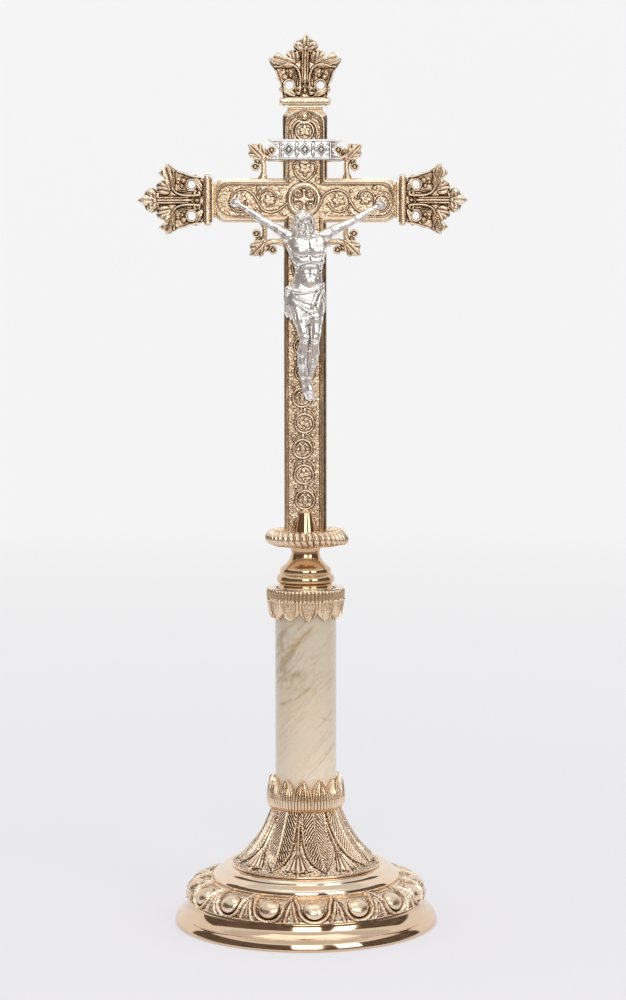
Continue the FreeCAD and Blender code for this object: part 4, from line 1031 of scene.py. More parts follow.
def vine_panel(r):
    """Running vine: roundel at the crossing, scrolls with leaves along the arms, rings down the shaft."""
    # roundel with a cross that widens outwards
    cx, cz = -0.6, 358.0
    r.ring(cx, cz, 7.15, 1.15, 1.25)
    r.ring(cx, cz, 8.15, 0.35, 0.75)
    r.ring(cx, cz, 5.75, 0.32, 0.65)
    m = r.near(cx - 5.6, cx + 5.6, cz - 5.6, cz + 5.6)
    dx, dz = r.x[m] - cx, r.z[m] - cz
    R = np.hypot(dx, dz)
    hole = np.full(len(m), 9.0)
    for sx in (-1, 1):
        for sz in (-1, 1):
            hole = np.minimum(hole, np.hypot(dx - sx * 2.95, dz - sz * 2.95) - 2.15)
    arm = np.minimum(hole, 5.3 - R)
    arm = np.where(np.minimum(np.abs(dx), np.abs(dz)) < 2.9, arm, -1)
    r.put(m, 1.05 * ss(0.0, 0.7, arm))
    r.put(m, np.where((R < 5.5) & (arm < 0.0), -0.45 * ss(0.0, -0.5, arm), 0.0), "add")
    for sx in (-1, 1):
        for sz in (-1, 1):
            r.ring(cx + sx * 3.1, cz + sz * 3.1, 1.2, 0.32, 0.5)
    X = lambda a: a * 0.05296 - 39.33
    Z = lambda b: 382.17 - b * 0.05272
    P = lambda *pts: [(X(a), Z(b)) for a, b in pts]
    # right arm
    r.cord(P((885, 500), (915, 425), (985, 380), (1060, 372), (1125, 405), (1152, 470), (1135, 530), (1080, 570), (1010, 560), (965, 515)), 0.50, 0.85, 0.9, 0.8)
    r.leaf(X(1050), Z(470), 110, 3.3, 0.8, 5)
    r.bead(X(958), Z(500), 0.85, 0.8).bead(X(1100), Z(538), 0.7, 0.7)
    r.bead(X(1166), Z(383), 0.75, 0.8).bead(X(1152), Z(572), 0.75, 0.75).bead(X(935), Z(575), 0.6, 0.6)
    r.cord(P((1152, 455), (1175, 500), (1215, 550), (1275, 580), (1340, 565), (1375, 510), (1380, 440), (1345, 385), (1290, 375), (1245, 400), (1232, 450)), 0.50, 0.85, 0.9, 0.8)
    r.leaf(X(1300), Z(455), 225, 2.9, 0.78, 5)
    r.bead(X(1208), Z(440), 0.7, 0.8).bead(X(1383), Z(352), 1.05, 0.9).pit(X(1383), Z(352), 0.5, 0.4)
    r.cord(P((1378, 470), (1405, 430), (1455, 415), (1500, 440), (1515, 490), (1490, 545), (1440, 570)), 0.5, 0.8, 0.9, 0.7)
    r.leaf(X(1452), Z(490), 200, 2.0, 0.7, 3)
    r.cord(P((1430, 372), (1500, 382), (1535, 430), (1548, 490)), 0.3, 0.5)
    # left arm
    r.cord(P((580, 490), (545, 520), (480, 562), (410, 574), (350, 548), (312, 490), (275, 425), (232, 382), (172, 362), (110, 380), (65, 425), (50, 490), (80, 548), (140, 570), (190, 545), (205, 490)), 0.50, 0.85, 0.9, 0.8)
    r.cord(P((318, 480), (325, 425), (355, 385), (405, 370), (450, 395), (470, 440), (455, 485)), 0.48, 0.85, 0.9, 0.7)
    r.leaf(X(415), Z(462), 250, 3.1, 0.8, 5)
    r.leaf(X(150), Z(450), 60, 3.0, 0.78, 5)
    r.cord(P((318, 480), (306, 430), (308, 375)), 0.42, 0.75, 1, 0.7)
    r.bead(X(312), Z(352), 1.0, 0.9).pit(X(312), Z(352), 0.45, 0.35)
    r.bead(X(508), Z(440), 1.0, 0.75, 0.55, 20).bead(X(285), Z(545), 0.95, 0.75, 0.55, 30).bead(X(335), Z(560), 0.6, 0.6)
    r.bead(X(60), Z(370), 0.7, 0.7).bead(X(505), Z(365), 0.5, 0.5).bead(X(520), Z(585), 0.6, 0.6)
    # shaft: rings on a pitch of 12.6 mm, each with a leaf, tied by slanting stems
    k = 0
    zc = 211.0
    while zc < 340:
        cx = [-0.2, -0.8, -1.4, -0.5, -1.6][k % 5]
        r.ring(cx, zc, 4.55, 0.50, 0.85)
        if k % 2 == 0:
            r.cord([(cx - 2.6, zc + 1.3), (cx - 1.3, zc + 2.6), (cx, zc + 1.4), (cx + 1.3, zc + 2.6), (cx + 2.6, zc + 1.3)], 0.42, 0.75)
            r.lobe(cx, zc + 1.6, -90, 4.0, 1.25, 0.75)
            r.bead(cx - 2.3, zc - 0.2, 0.75, 0.7).bead(cx + 2.3, zc - 0.2, 0.75, 0.7)
        else:
            r.leaf(cx + 0.1, zc - 0.1, 100 if k % 4 == 1 else 70, 2.7, 0.8, 3)
            r.bead(cx - 0.2, zc - 2.2, 0.8, 0.75)
        up = zc + 6.3
        r.cord([(cx + 1.0, zc + 7.6), (cx + 3.0, zc + 6.6), (cx + 4.9, zc + 4.2), (cx + 5.3, zc + 2.2)], 0.48, 0.85, 0.7, 0.8)
        r.cord([(cx - 1.4, zc + 7.4), (cx - 3.6, zc + 6.0), (cx - 4.8, zc + 3.6)], 0.36, 0.6, 0.7, 0.8)
        r.lobe(cx + 0.2, up - 1.3, 90, 2.6, 0.9, 0.75)
        r.bead(cx - 4.6, up + 0.2, 0.95, 0.8, 0.75).bead(cx + 4.9, up + 0.4, 1.0, 0.85, 0.75)
        r.bead(cx - 5.9, zc + 0.5, 0.6, 0.5).bead(cx + 5.9, zc - 1.4, 0.55, 0.5)
        zc += 12.6
        k += 1
    # foot of the panel
    r.cord([(-6.4, 196.2), (-4.0, 201.5), (-0.4, 204.0), (3.4, 201.5), (5.2, 196.2)], 0.5, 0.8)
    r.leaf(-0.5, 199.0, 90, 3.0, 0.8, 3)
    # upper arm: heart scroll, leaf, knot and the boss under the arch
    r.cord([(-0.2, 366.6), (-2.8, 368.3), (-5.0, 371.4), (-5.4, 374.8), (-3.6, 376.4), (-1.8, 375.0)], 0.48, 0.85, 1, 0.75)
    r.cord([(-0.2, 366.6), (2.6, 368.3), (4.8, 371.4), (5.2, 374.8), (3.4, 376.4), (1.6, 375.0)], 0.48, 0.85, 1, 0.75)
    r.leaf(0.0, 373.2, -90, 3.4, 0.85, 5)
    r.bead(-6.2, 368.0, 0.7, 0.6).bead(5.8, 368.0, 0.7, 0.6)
    r.ring(-0.2, 391.2, 4.3, 0.5, 0.85)
    r.leaf(-0.2, 391.0, 90, 2.9, 0.85, 5)
    r.cord([(-5.9, 387.5), (-6.3, 391.0), (-5.2, 394.4), (-2.8, 396.0), (-0.2, 394.9), (2.4, 396.0), (4.8, 394.4), (5.9, 391.0), (5.5, 387.5)], 0.5, 0.85)
    r.ring(-0.3, 398.0, 2.9, 0.36, 0.7)
    r.bead(-0.3, 398.0, 1.5, 1.05)
    r.cord([(-3.4, 386.9), (-5.6, 385.0), (-5.4, 381.6)], 0.42, 0.7)
    r.cord([(3.0, 386.9), (5.2, 385.0), (5.0, 381.6)], 0.42, 0.7)
    r.leaf(-0.2, 383.0, 90, 2.9, 0.8, 5)


def cross():
    out, pan = cross_outline(), panel_outline()

    def front(x, z, d):
        dp = poly_sdf(pan, x, z)
        inside = dp < 0
        dn = np.maximum(dp, 0)
        t = d / np.maximum(d + dn, 1e-6)
        # moulding: outer bevel, ridge, inner slope with a fine step
        y = np.interp(t, [0, 0.05, 0.42, 0.50, 0.58, 0.66, 0.74, 0.90, 1.0],
                      [-2.35, -2.65, -3.75, -3.95, -3.80, -3.40, -3.42, -2.95, -2.55])
        y = -2.55 + (y + 2.55) * np.clip((d + dn) / 3.2, 0.5, 1.0)
        r = Relief(x, z)
        vine_panel(r)
        g = 0.13 * stipple(x * 1.0, z * 1.0, 0.62, 12) + 0.05 * noise2(x * 4.2, z * 4.2, 3)
        edge = ss(0.0, 0.7, -dp)
        r.h = r.h * edge
        h = np.where(r.h > 0.04, np.maximum(r.h, 0.0) + 0.25 * g, g)
        yp = -2.55 - h
        yy = np.where(inside, yp, y + 0.02 * noise2(x * 1.3, z * 1.3, 6))
        return yy
    ob = plate("cross_vis", lambda x, z: poly_sdf(out, x, z), (-44.6, 44.6, 192.2, 402.0), 0.25, front, 4.0,
          back_inset=0.7, back_edge=0.7, cuts=[((-9.7, 347.65), (9.7, 347.65)), ((-10.15, 367.6), (10.15, 367.6))], mat=M_CROSS_PAINTED_HIGHLIGHT, node="cross_body", slot="cast_brass", sharp=58, cav_iters=5)
    me = ob.data
    co = np.empty(len(me.vertices) * 3, np.float32)
    me.vertices.foreach_get("co", co)
    x, y, z = co.reshape(-1, 3).T.astype(float) / MM
    d, dn = -poly_sdf(out, x, z), np.maximum(poly_sdf(pan, x, z), 0)
    t = np.maximum(d, 0) / np.maximum(np.maximum(d, 0) + dn, 1e-6)
    # painted shade: cav is raised on the outer bevel of the upright edges so they take the dark colour; the arms' top
    # edges stay light
    up = ((z < 346.5) | (z > 369.0)) & (z < 398.0) & (y < -2.3)
    at = me.attributes["cav"]
    cav = np.empty(len(me.vertices), np.float32)
    at.data.foreach_get("value", cav)
    cav += (0.060 * ss(0.50, 0.40, t) * up).astype(np.float32)
    at.data.foreach_set("value", cav)


# ---- the three leaf finials
FIN = [(10.4, 5.6), (11.5, 7.6), (12.5, 9.6), (12.1, 12.0), (13.4, 14.2), (14.2, 17.4), (15.2, 19.6), (16.6, 21.4), (17.9, 24.6),
       (16.4, 24.8), (15.0, 26.4), (13.2, 27.6), (11.6, 26.6), (10.3, 25.2), (9.4, 26.9), (7.8, 28.4), (5.9, 28.6),
       (4.7, 27.6), (5.9, 29.6), (5.8, 31.6), (4.2, 33.2), (2.5, 33.9), (1.2, 35.6), (0.0, 37.1)]


def finial(name, node, place, flip=1):
    right = spline(FIN, 4)
    half = np.array([(8.6, 0.0), (8.6, 1.2), (10.6, 1.2), (10.6, 1.9), (12.0, 1.9), (12.55, 2.6), (12.6, 3.8), (12.5, 4.9), (12.0, 5.55)])
    R = np.concatenate([half, right])
    L = R[::-1].copy()
    L[:, 0] *= -1
    out = np.concatenate([R, L[1:]])
    eyes = [(-7.6, 11.6, 2.05), (7.6, 11.6, 1.95)]

    def sdf(w, u):
        d = poly_sdf(out, w, u)
        for ex, eu, er in eyes:
            d = np.maximum(d, er - np.hypot(w - ex, (u - eu) * 1.08))
        return d

    def front(w, u, d):
        r = Relief(w, u)
        base = 0.75 + 0.55 * ss(0, 1.2, d)
        # hollow bowl behind the eye and its beads
        for s in (-1, 1):
            q = np.hypot(w - s * 8.6, u - 16.9) / 4.6
            base = base - 0.75 * ss(1.0, 0.55, q)
        for s in (-1, 1):
            # side leaf: lobes, folded middle, raised under-edge
            r.lobe(s * 5.0, 21.8, 90 - s * 74, 13.8, 3.5, 2.7, 0.30)
            r.lobe(s * 6.6, 22.3, 90 - s * 36, 7.2, 2.6, 2.5, 0.42)
            r.lobe(s * 4.2, 22.4, 90 - s * 12, 6.9, 2.3, 2.3, 0.42)
            r.lobe(s * 9.6, 22.6, 90 - s * 28, 6.0, 2.1, 2.3, 0.34)
            r.cord([(s * 2.5, 8.0), (s * 2.2, 12.6), (s * 2.6, 16.8), (s * 4.0, 19.8), (s * 6.6, 21.4), (s * 9.6, 21.3), (s * 12.6, 20.4), (s * 14.6, 20.6)], 0.75, 2.6, 1.0, 0.8)
            r.cord([(s * 4.4, 9.0), (s * 4.6, 12.6), (s * 4.2, 15.6), (s * 4.6, 18.4)], 0.5, 1.5, 1.0, 0.6)
            r.cord([(s * 14.0, 18.6), (s * 13.1, 15.6), (s * 12.0, 12.6), (s * 11.4, 9.6), (s * 11.2, 7.4)], 0.7, 2.1, 0.8, 1.0)
            r.bead(s * 9.6, 15.6, 1.45, 1.9).bead(s * 7.0, 16.4, 1.0, 1.6).bead(s * 8.6, 18.4, 0.9, 1.5)
            r.ring(s * 7.6, 11.6, 2.7, 0.5, 1.3)
            # leaflets at the root
            r.bead(s * 2.9, 10.1, 1.95, 2.7, 1.05, s * -14).bead(s * 3.1, 7.6, 1.75, 2.5, 1.15, s * 10)
            r.lobe(s * 4.6, 6.4, 90 - s * 62, 7.4, 1.9, 1.7, 0.2)
            # veins
            r.cord([(s * 9.6, 22.0), (s * 13.4, 23.0), (s * 17.0, 24.3)], 0.36, 3.0, 1, 0.6)
        # middle bar with ribs
        bar = np.where((u > 12.0) & (u < 29.5), ss(2.25, 1.5, np.abs(w)) * (1.25 + 0.32 * np.cos(w * 2 * math.pi / 1.35)), 0)
        bar = bar * ss(12.0, 13.4, u) * ss(29.6, 28.0, u)
        r.h = np.maximum(r.h, bar)
        r.bead(0, 8.9, 0.95, 1.5, 1.5)
        r.lobe(0, 11.2, 90, 6.0, 0.95, 1.9, 0.0)
        # end leaf of three lobes
        r.lobe(0, 29.0, 90, 8.2, 2.7, 2.7, 0.25)
        r.lobe(0.4, 29.4, 22, 5.9, 2.1, 2.5, 0.3).lobe(-0.4, 29.4, 158, 5.9, 2.1, 2.5, 0.3)
        r.bead(3.9, 31.0, 1.7, 2.5).bead(-3.9, 31.0, 1.7, 2.5)
        r.lobe(0.6, 29.8, -38, 3.6, 1.3, 1.5, 0.2).lobe(-0.6, 29.8, 218, 3.6, 1.3, 1.5, 0.2)
        r.bead(0, 29.4, 1.4, 2.6)
        h = base + r.h * ss(0.0, 0.5, d)
        h = h + 0.06 * noise2(w * 3.1, u * 3.1, 5) + 0.03 * noise2(w * 7, u * 7, 2)
        # the moulded bands at the root
        q = (u - 3.75) / 1.95
        band = 3.1 + 1.35 * np.sqrt(np.clip(1 - q * q, 0, 1))
        lowb = 3.2 + 0.45 * np.sqrt(np.clip(1 - ((u - 1.0) / 0.85) ** 2, 0, 1))
        ends = ss(0.0, 0.8, d)
        h = np.where(u < 5.6, np.where(u < 1.85, np.where(u < 0.12, 3.0, lowb), band * (0.72 + 0.28 * ends)), h)
        return -h

    def back(w, u, d):
        r = Relief(w, u)
        for s in (-1, 1):
            r.lobe(s * 5.0, 21.8, 90 - s * 74, 13.0, 3.0, 0.8, 0.25)
            r.lobe(s * 6.0, 22.4, 90 - s * 28, 6.4, 2.4, 0.7, 0.3)
            r.cord([(s * 2.6, 8.0), (s * 2.6, 16.8), (s * 4.4, 19.6), (s * 9.6, 21.0), (s * 14.0, 20.6)], 0.9, 0.7, 1.0, 0.7)
        r.lobe(0, 29.2, 90, 7.6, 2.2, 0.8, 0.2)
        h = 1.1 + 0.45 * ss(0, 1.4, d) + r.h * ss(0.2, 1.0, d) + 0.05 * noise2(w * 2.6, u * 2.6, 9)
        q = (u - 3.75) / 1.95
        band = 3.1 + 1.2 * np.sqrt(np.clip(1 - q * q, 0, 1))
        h = np.where(u < 5.6, np.where(u < 1.85, 3.2, band * (0.75 + 0.25 * ss(0, 0.8, d))), h)
        return h
    x, z, quads, border, loops = plate_grid(sdf, (-18.4, 18.4, 0.0, 37.6), 0.21)
    ob = plate(name, sdf, (-18.4, 18.4, 0.0, 37.6), 0.21, front, back, wall=3, mat=M_CROSS_PAINTED_HIGHLIGHT, node=None, slot=None,
               sharp=60, cav=False)
    me = ob.data
    co = np.empty(len(me.vertices) * 3, np.float32)
    me.vertices.foreach_get("co", co)
    co = co.reshape(-1, 3).astype(float)
    w, y, u = co[:, 0] / MM, co[:, 1] / MM, co[:, 2] / MM
    X, Z = place(w, u)
    co2 = np.stack([X, y, Z], axis=1) * MM
    me.vertices.foreach_set("co", co2.astype(np.float32).ravel())
    me.update()
    add_cavity(me, 5)
    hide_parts(node)
    return ob


def finials():
    U = [0.0, 5.6, 11.6, 24.6, 37.1]
    droop = lambda w, down: np.where((w * down > 0) & (np.abs(w) > 12.0), np.sign(w) * (12.0 + (np.abs(w) - 12.0) * 0.80), w)
    finial("finial_top_vis", "finial_top", lambda w, u: (w + 0.7 * ss(20.0, 37.0, u), 401.8 + u))
    finial("finial_right_vis", "finial_right", lambda w, u: (44.2 + np.interp(u, U, [0, 5.0, 9.9, 22.5, 35.7]), 357.8 - droop(w, 1)))
    finial("finial_left_vis", "finial_left", lambda w, u: (-44.2 - np.interp(u, U, [0, 5.3, 11.3, 23.8, 38.2]), 357.8 + droop(w, -1)))


# ---- pierced leaves in the four corners
def line_dist(pts, x, z):
    P = spline(pts, 6) if len(pts) > 2 else np.array(pts, float)
    best = np.full(x.shape, 1e9)
    for (ax, az), (bx, bz) in zip(P[:-1], P[1:]):
        ex, ez = bx - ax, bz - az
        t = np.clip(((x - ax) * ex + (z - az) * ez) / (ex * ex + ez * ez + 1e-12), 0, 1)
        best = np.minimum(best, np.hypot(x - ax - ex * t, z - az - ez * t))
    return best


def corner(name, node, sx, sz, shaft):
    """Pierced leaf in the angle of shaft and arm: a runs outwards from the shaft, b outwards from the arm's edge."""
    ed = 368.65 if sz > 0 else 346.95
    edge = [(9.2, 8.0), (10.6, 7.0), (12.6, 7.3), (14.2, 8.4), (14.5, 9.6), (16.1, 10.1), (16.7, 11.6), (16.0, 13.2), (16.3, 14.6), (16.9, 15.9)]
    edge = edge + [(b, a) for a, b in edge[:-1][::-1]]
    stem = [(9.9, -0.6), (9.4, 3.2), (9.4, 6.6), (11.2, 10.2)]
    stem2 = [(b, a) for a, b in stem]

    def body(a, b):
        d = poly_sdf(np.array(edge), a, b) - 0.15
        d = smin(d, line_dist(stem, a, b) - (1.35 + 0.95 * ss(3.4, -0.6, b)), 0.7)
        d = smin(d, line_dist(stem2, a, b) - (1.45 + 0.75 * ss(4.2, -0.6, a)), 0.7)
        d = smin(d, np.hypot(a - 13.4, b - 5.4) - 2.25, 0.35)
        return smin(d, np.hypot(a - 5.4, b - 13.4) - 2.25, 0.35)
    sdf = lambda x, z: body(x - shaft, z)

    def front(x, z, d):
        a = x - shaft
        r = Relief(a, z)
        for f in (lambda p: p, lambda p: (p[1], p[0])):
            r.cord([f(p) for p in stem], 1.55, 1.25, 1.15, 0.6)
            sc = [f((13.4 + 1.62 * math.cos(q), 5.4 + 1.62 * math.sin(q))) for q in np.radians([200, 250, 300, 350, 40, 90, 130, 160])]
            r.cord(sc, 0.55, 1.15, 1.1, 0.8)
            c = f((13.4, 5.4))
            r.bead(c[0], c[1], 0.95, 1.55)
            r.cord([f(p) for p in [(11.2, 4.2), (11.4, 6.6), (12.6, 8.2)]], 0.5, 1.2)
        r.lobe(9.4, 9.4, 45, 9.9, 2.0, 1.5, 0.55)
        r.lobe(10.2, 9.4, 12, 6.8, 1.75, 1.25, 0.45).lobe(9.4, 10.2, 78, 6.8, 1.75, 1.25, 0.45)
        r.bead(15.0, 13.0, 1.1, 1.1).bead(13.0, 15.0, 1.1, 1.1)
        r.bead(9.4, 9.4, 1.35, 1.5)
        return -(0.95 + 0.35 * ss(0, 0.7, d) + r.h * ss(0, 0.4, d) + 0.05 * noise2(x * 3, z * 3, 4))

    ob = plate(name, sdf, (shaft - 0.9, shaft + 18.2, -0.9, 18.2), 0.19, front, lambda x, z, d: 1.2 + 0.45 * ss(0, 0.8, d), wall=3,
               mat=M_CROSS_PAINTED_HIGHLIGHT, sharp=62, cav=False)
    me = ob.data
    co = np.empty(len(me.vertices) * 3, np.float32)
    me.vertices.foreach_get("co", co)
    co = co.reshape(-1, 3)
    co[:, 2] = ed * MM + sz * co[:, 2]
    co[:, 0] *= sx
    me.vertices.foreach_set("co", co.ravel())
    if sx * sz < 0:
        me.flip_normals()
    me.update()
    add_cavity(me, 4)
    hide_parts(node)
    return ob


def corners():
    corner("corner_ul", "corner_leaf_upper_left", -1, 1, 10.85)
    corner("corner_ur", "corner_leaf_upper_right", 1, 1, 10.85)
    corner("corner_ll", "corner_leaf_lower_left", -1, -1, 10.4)
    corner("corner_lr", "corner_leaf_lower_right", 1, -1, 10.4)


cross()
finials()
corners()


# ------------------------------------------------------------------ cast figure, as a distance field
class Field:
    def __init__(self, lo, hi, step):
        self.lo, self.step = np.array(lo, float), step
        self.n = np.ceil((np.array(hi, float) - self.lo) / step).astype(int) + 1
        self.f = np.full(self.n, 9.0, np.float32)
        self.ax = [(self.lo[k] + np.arange(self.n[k]) * step).astype(np.float32) for k in range(3)]

    def sub(self, lo, hi, pad=1.6):
        s = []
        for k in range(3):
            a = max(0, int(math.floor((lo[k] - pad - self.lo[k]) / self.step)))
            b = min(self.n[k], int(math.ceil((hi[k] + pad - self.lo[k]) / self.step)) + 1)
            s.append(slice(a, max(a + 1, b)))
        s = tuple(s)
        x = self.ax[0][s[0]][:, None, None]
        y = self.ax[1][s[1]][None, :, None]
        z = self.ax[2][s[2]][None, None, :]
        return s, x, y, z

    def join(self, s, d, k):
        a = self.f[s]
        if k <= 0:
            self.f[s] = np.minimum(a, d)
            return
        h = np.clip(0.5 + 0.5 * (a - d) / k, 0, 1)
        self.f[s] = a * (1 - h) + d * h - k * h * (1 - h)

    def carve(self, s, d, k):
        a = self.f[s]
        h = np.clip(0.5 - 0.5 * (a + d) / k, 0, 1)
        self.f[s] = a * (1 - h) - d * h + k * h * (1 - h)

    def limb(self, a, b, ra, rb, k=0.8, flat=1.0, cut=False):
        """Tapered capsule; flat < 1 makes it shallower in depth."""
        a, b = np.array(a, float), np.array(b, float)
        r = max(ra, rb)
        s, x, y, z = self.sub(np.minimum(a, b) - r, np.maximum(a, b) + r)
        ba = b - a
        L = float(ba @ ba) + 1e-9
        px, py, pz = x - a[0], y - a[1], z - a[2]
        t = np.clip((px * ba[0] + py * ba[1] + pz * ba[2]) / L, 0, 1)
        d = np.sqrt((px - ba[0] * t) ** 2 + ((py - ba[1] * t) / flat) ** 2 + (pz - ba[2] * t) ** 2) - (ra + (rb - ra) * t)
        (self.carve if cut else self.join)(s, d.astype(np.float32), k)

    def chain(self, pts, radii, k=0.8, flat=1.0, cut=False):
        for i in range(len(pts) - 1):
            self.limb(pts[i], pts[i + 1], radii[i], radii[i + 1], k, flat, cut)

    def line(self, pts, r, k=0.3):
        """Groove drawn on the front surface through (x, z) points, tapering out at both ends."""
        P = spline(np.array(pts, float), 5)
        out = []
        for x, z in P:
            i, k0 = [int(round((v - self.lo[a]) / self.step)) for v, a in ((x, 0), (z, 2))]
            col = self.f[i, :, k0]
            j = int(np.argmax(col < 0))
            if j > 0 and col[j] < 0:
                out.append((x, self.lo[1] + (j - 1 + col[j - 1] / (col[j - 1] - col[j])) * self.step, z))
        w = np.linspace(0, 1, len(out))
        self.chain(out, r * (0.45 + 0.55 * np.sin(np.pi * w) ** 0.6), k, cut=True)

    def ball(self, c, r, k=0.6, rot=None, cut=False):
        c, r = np.array(c, float), np.array(r, float)
        m = r.max()
        s, x, y, z = self.sub(c - m, c + m)
        p = [x - c[0], y - c[1], z - c[2]]
        if rot is not None:
            p = [p[0] * rot[0][i] + p[1] * rot[1][i] + p[2] * rot[2][i] for i in range(3)]
        k0 = np.sqrt((p[0] / r[0]) ** 2 + (p[1] / r[1]) ** 2 + (p[2] / r[2]) ** 2) + 1e-6
        k1 = np.sqrt((p[0] / r[0] ** 2) ** 2 + (p[1] / r[1] ** 2) ** 2 + (p[2] / r[2] ** 2) ** 2) + 1e-6
        d = k0 * (k0 - 1) / k1
        (self.carve if cut else self.join)(s, d.astype(np.float32), k)

    def net(self):
        """Surface nets: one vertex per crossed cell, one quad per crossed edge."""
        F, ins = self.f, self.f < 0
        cnt = np.zeros([k - 1 for k in F.shape], np.uint8)
        for dx in (0, 1):
            for dy in (0, 1):
                for dz in (0, 1):
                    cnt += ins[dx:F.shape[0] - 1 + dx, dy:F.shape[1] - 1 + dy, dz:F.shape[2] - 1 + dz]
        I, J, K = np.nonzero((cnt > 0) & (cnt < 8))
        vid = np.full(cnt.shape, -1, np.int32)
        vid[I, J, K] = np.arange(len(I))
        cor = [(a, b, c) for a in (0, 1) for b in (0, 1) for c in (0, 1)]
        vals = np.stack([F[I + a, J + b, K + c] for a, b, c in cor], axis=1).astype(float)
        acc, num = np.zeros((len(I), 3)), np.zeros(len(I))
        for p in range(8):
            for q in range(p + 1, 8):
                A, B = np.array(cor[p]), np.array(cor[q])
                if np.abs(A - B).sum() != 1:
                    continue
                va, vb = vals[:, p], vals[:, q]
                m = (va < 0) != (vb < 0)
                t = np.where(m, va / np.where(m, va - vb, 1), 0)
                acc += np.where(m[:, None], A + (B - A) * t[:, None], 0)
                num += m
        P = (np.stack([I, J, K], axis=1) + acc / num[:, None]) * self.step + self.lo
        quads = []
        for ax in range(3):
            sl0, sl1 = [slice(None)] * 3, [slice(None)] * 3
            sl0[ax], sl1[ax] = slice(0, -1), slice(1, None)
            a, b = ins[tuple(sl0)], ins[tuple(sl1)]
            E = np.array(np.nonzero(a != b)).T
            u, v = [(1, 2), (2, 0), (0, 1)][ax]
            ok = (E[:, u] > 0) & (E[:, v] > 0) & (E[:, u] < cnt.shape[u]) & (E[:, v] < cnt.shape[v])
            E = E[ok]
            def cell(du, dv):
                C = E.copy()
                C[:, u] += du
                C[:, v] += dv
                return vid[C[:, 0], C[:, 1], C[:, 2]]
            q = np.stack([cell(-1, -1), cell(0, -1), cell(0, 0), cell(-1, 0)], axis=1)
            out = a[E[:, 0], E[:, 1], E[:, 2]]
            q[~out] = q[~out][:, ::-1]
            quads.append(q)
        return P, np.concatenate(quads)


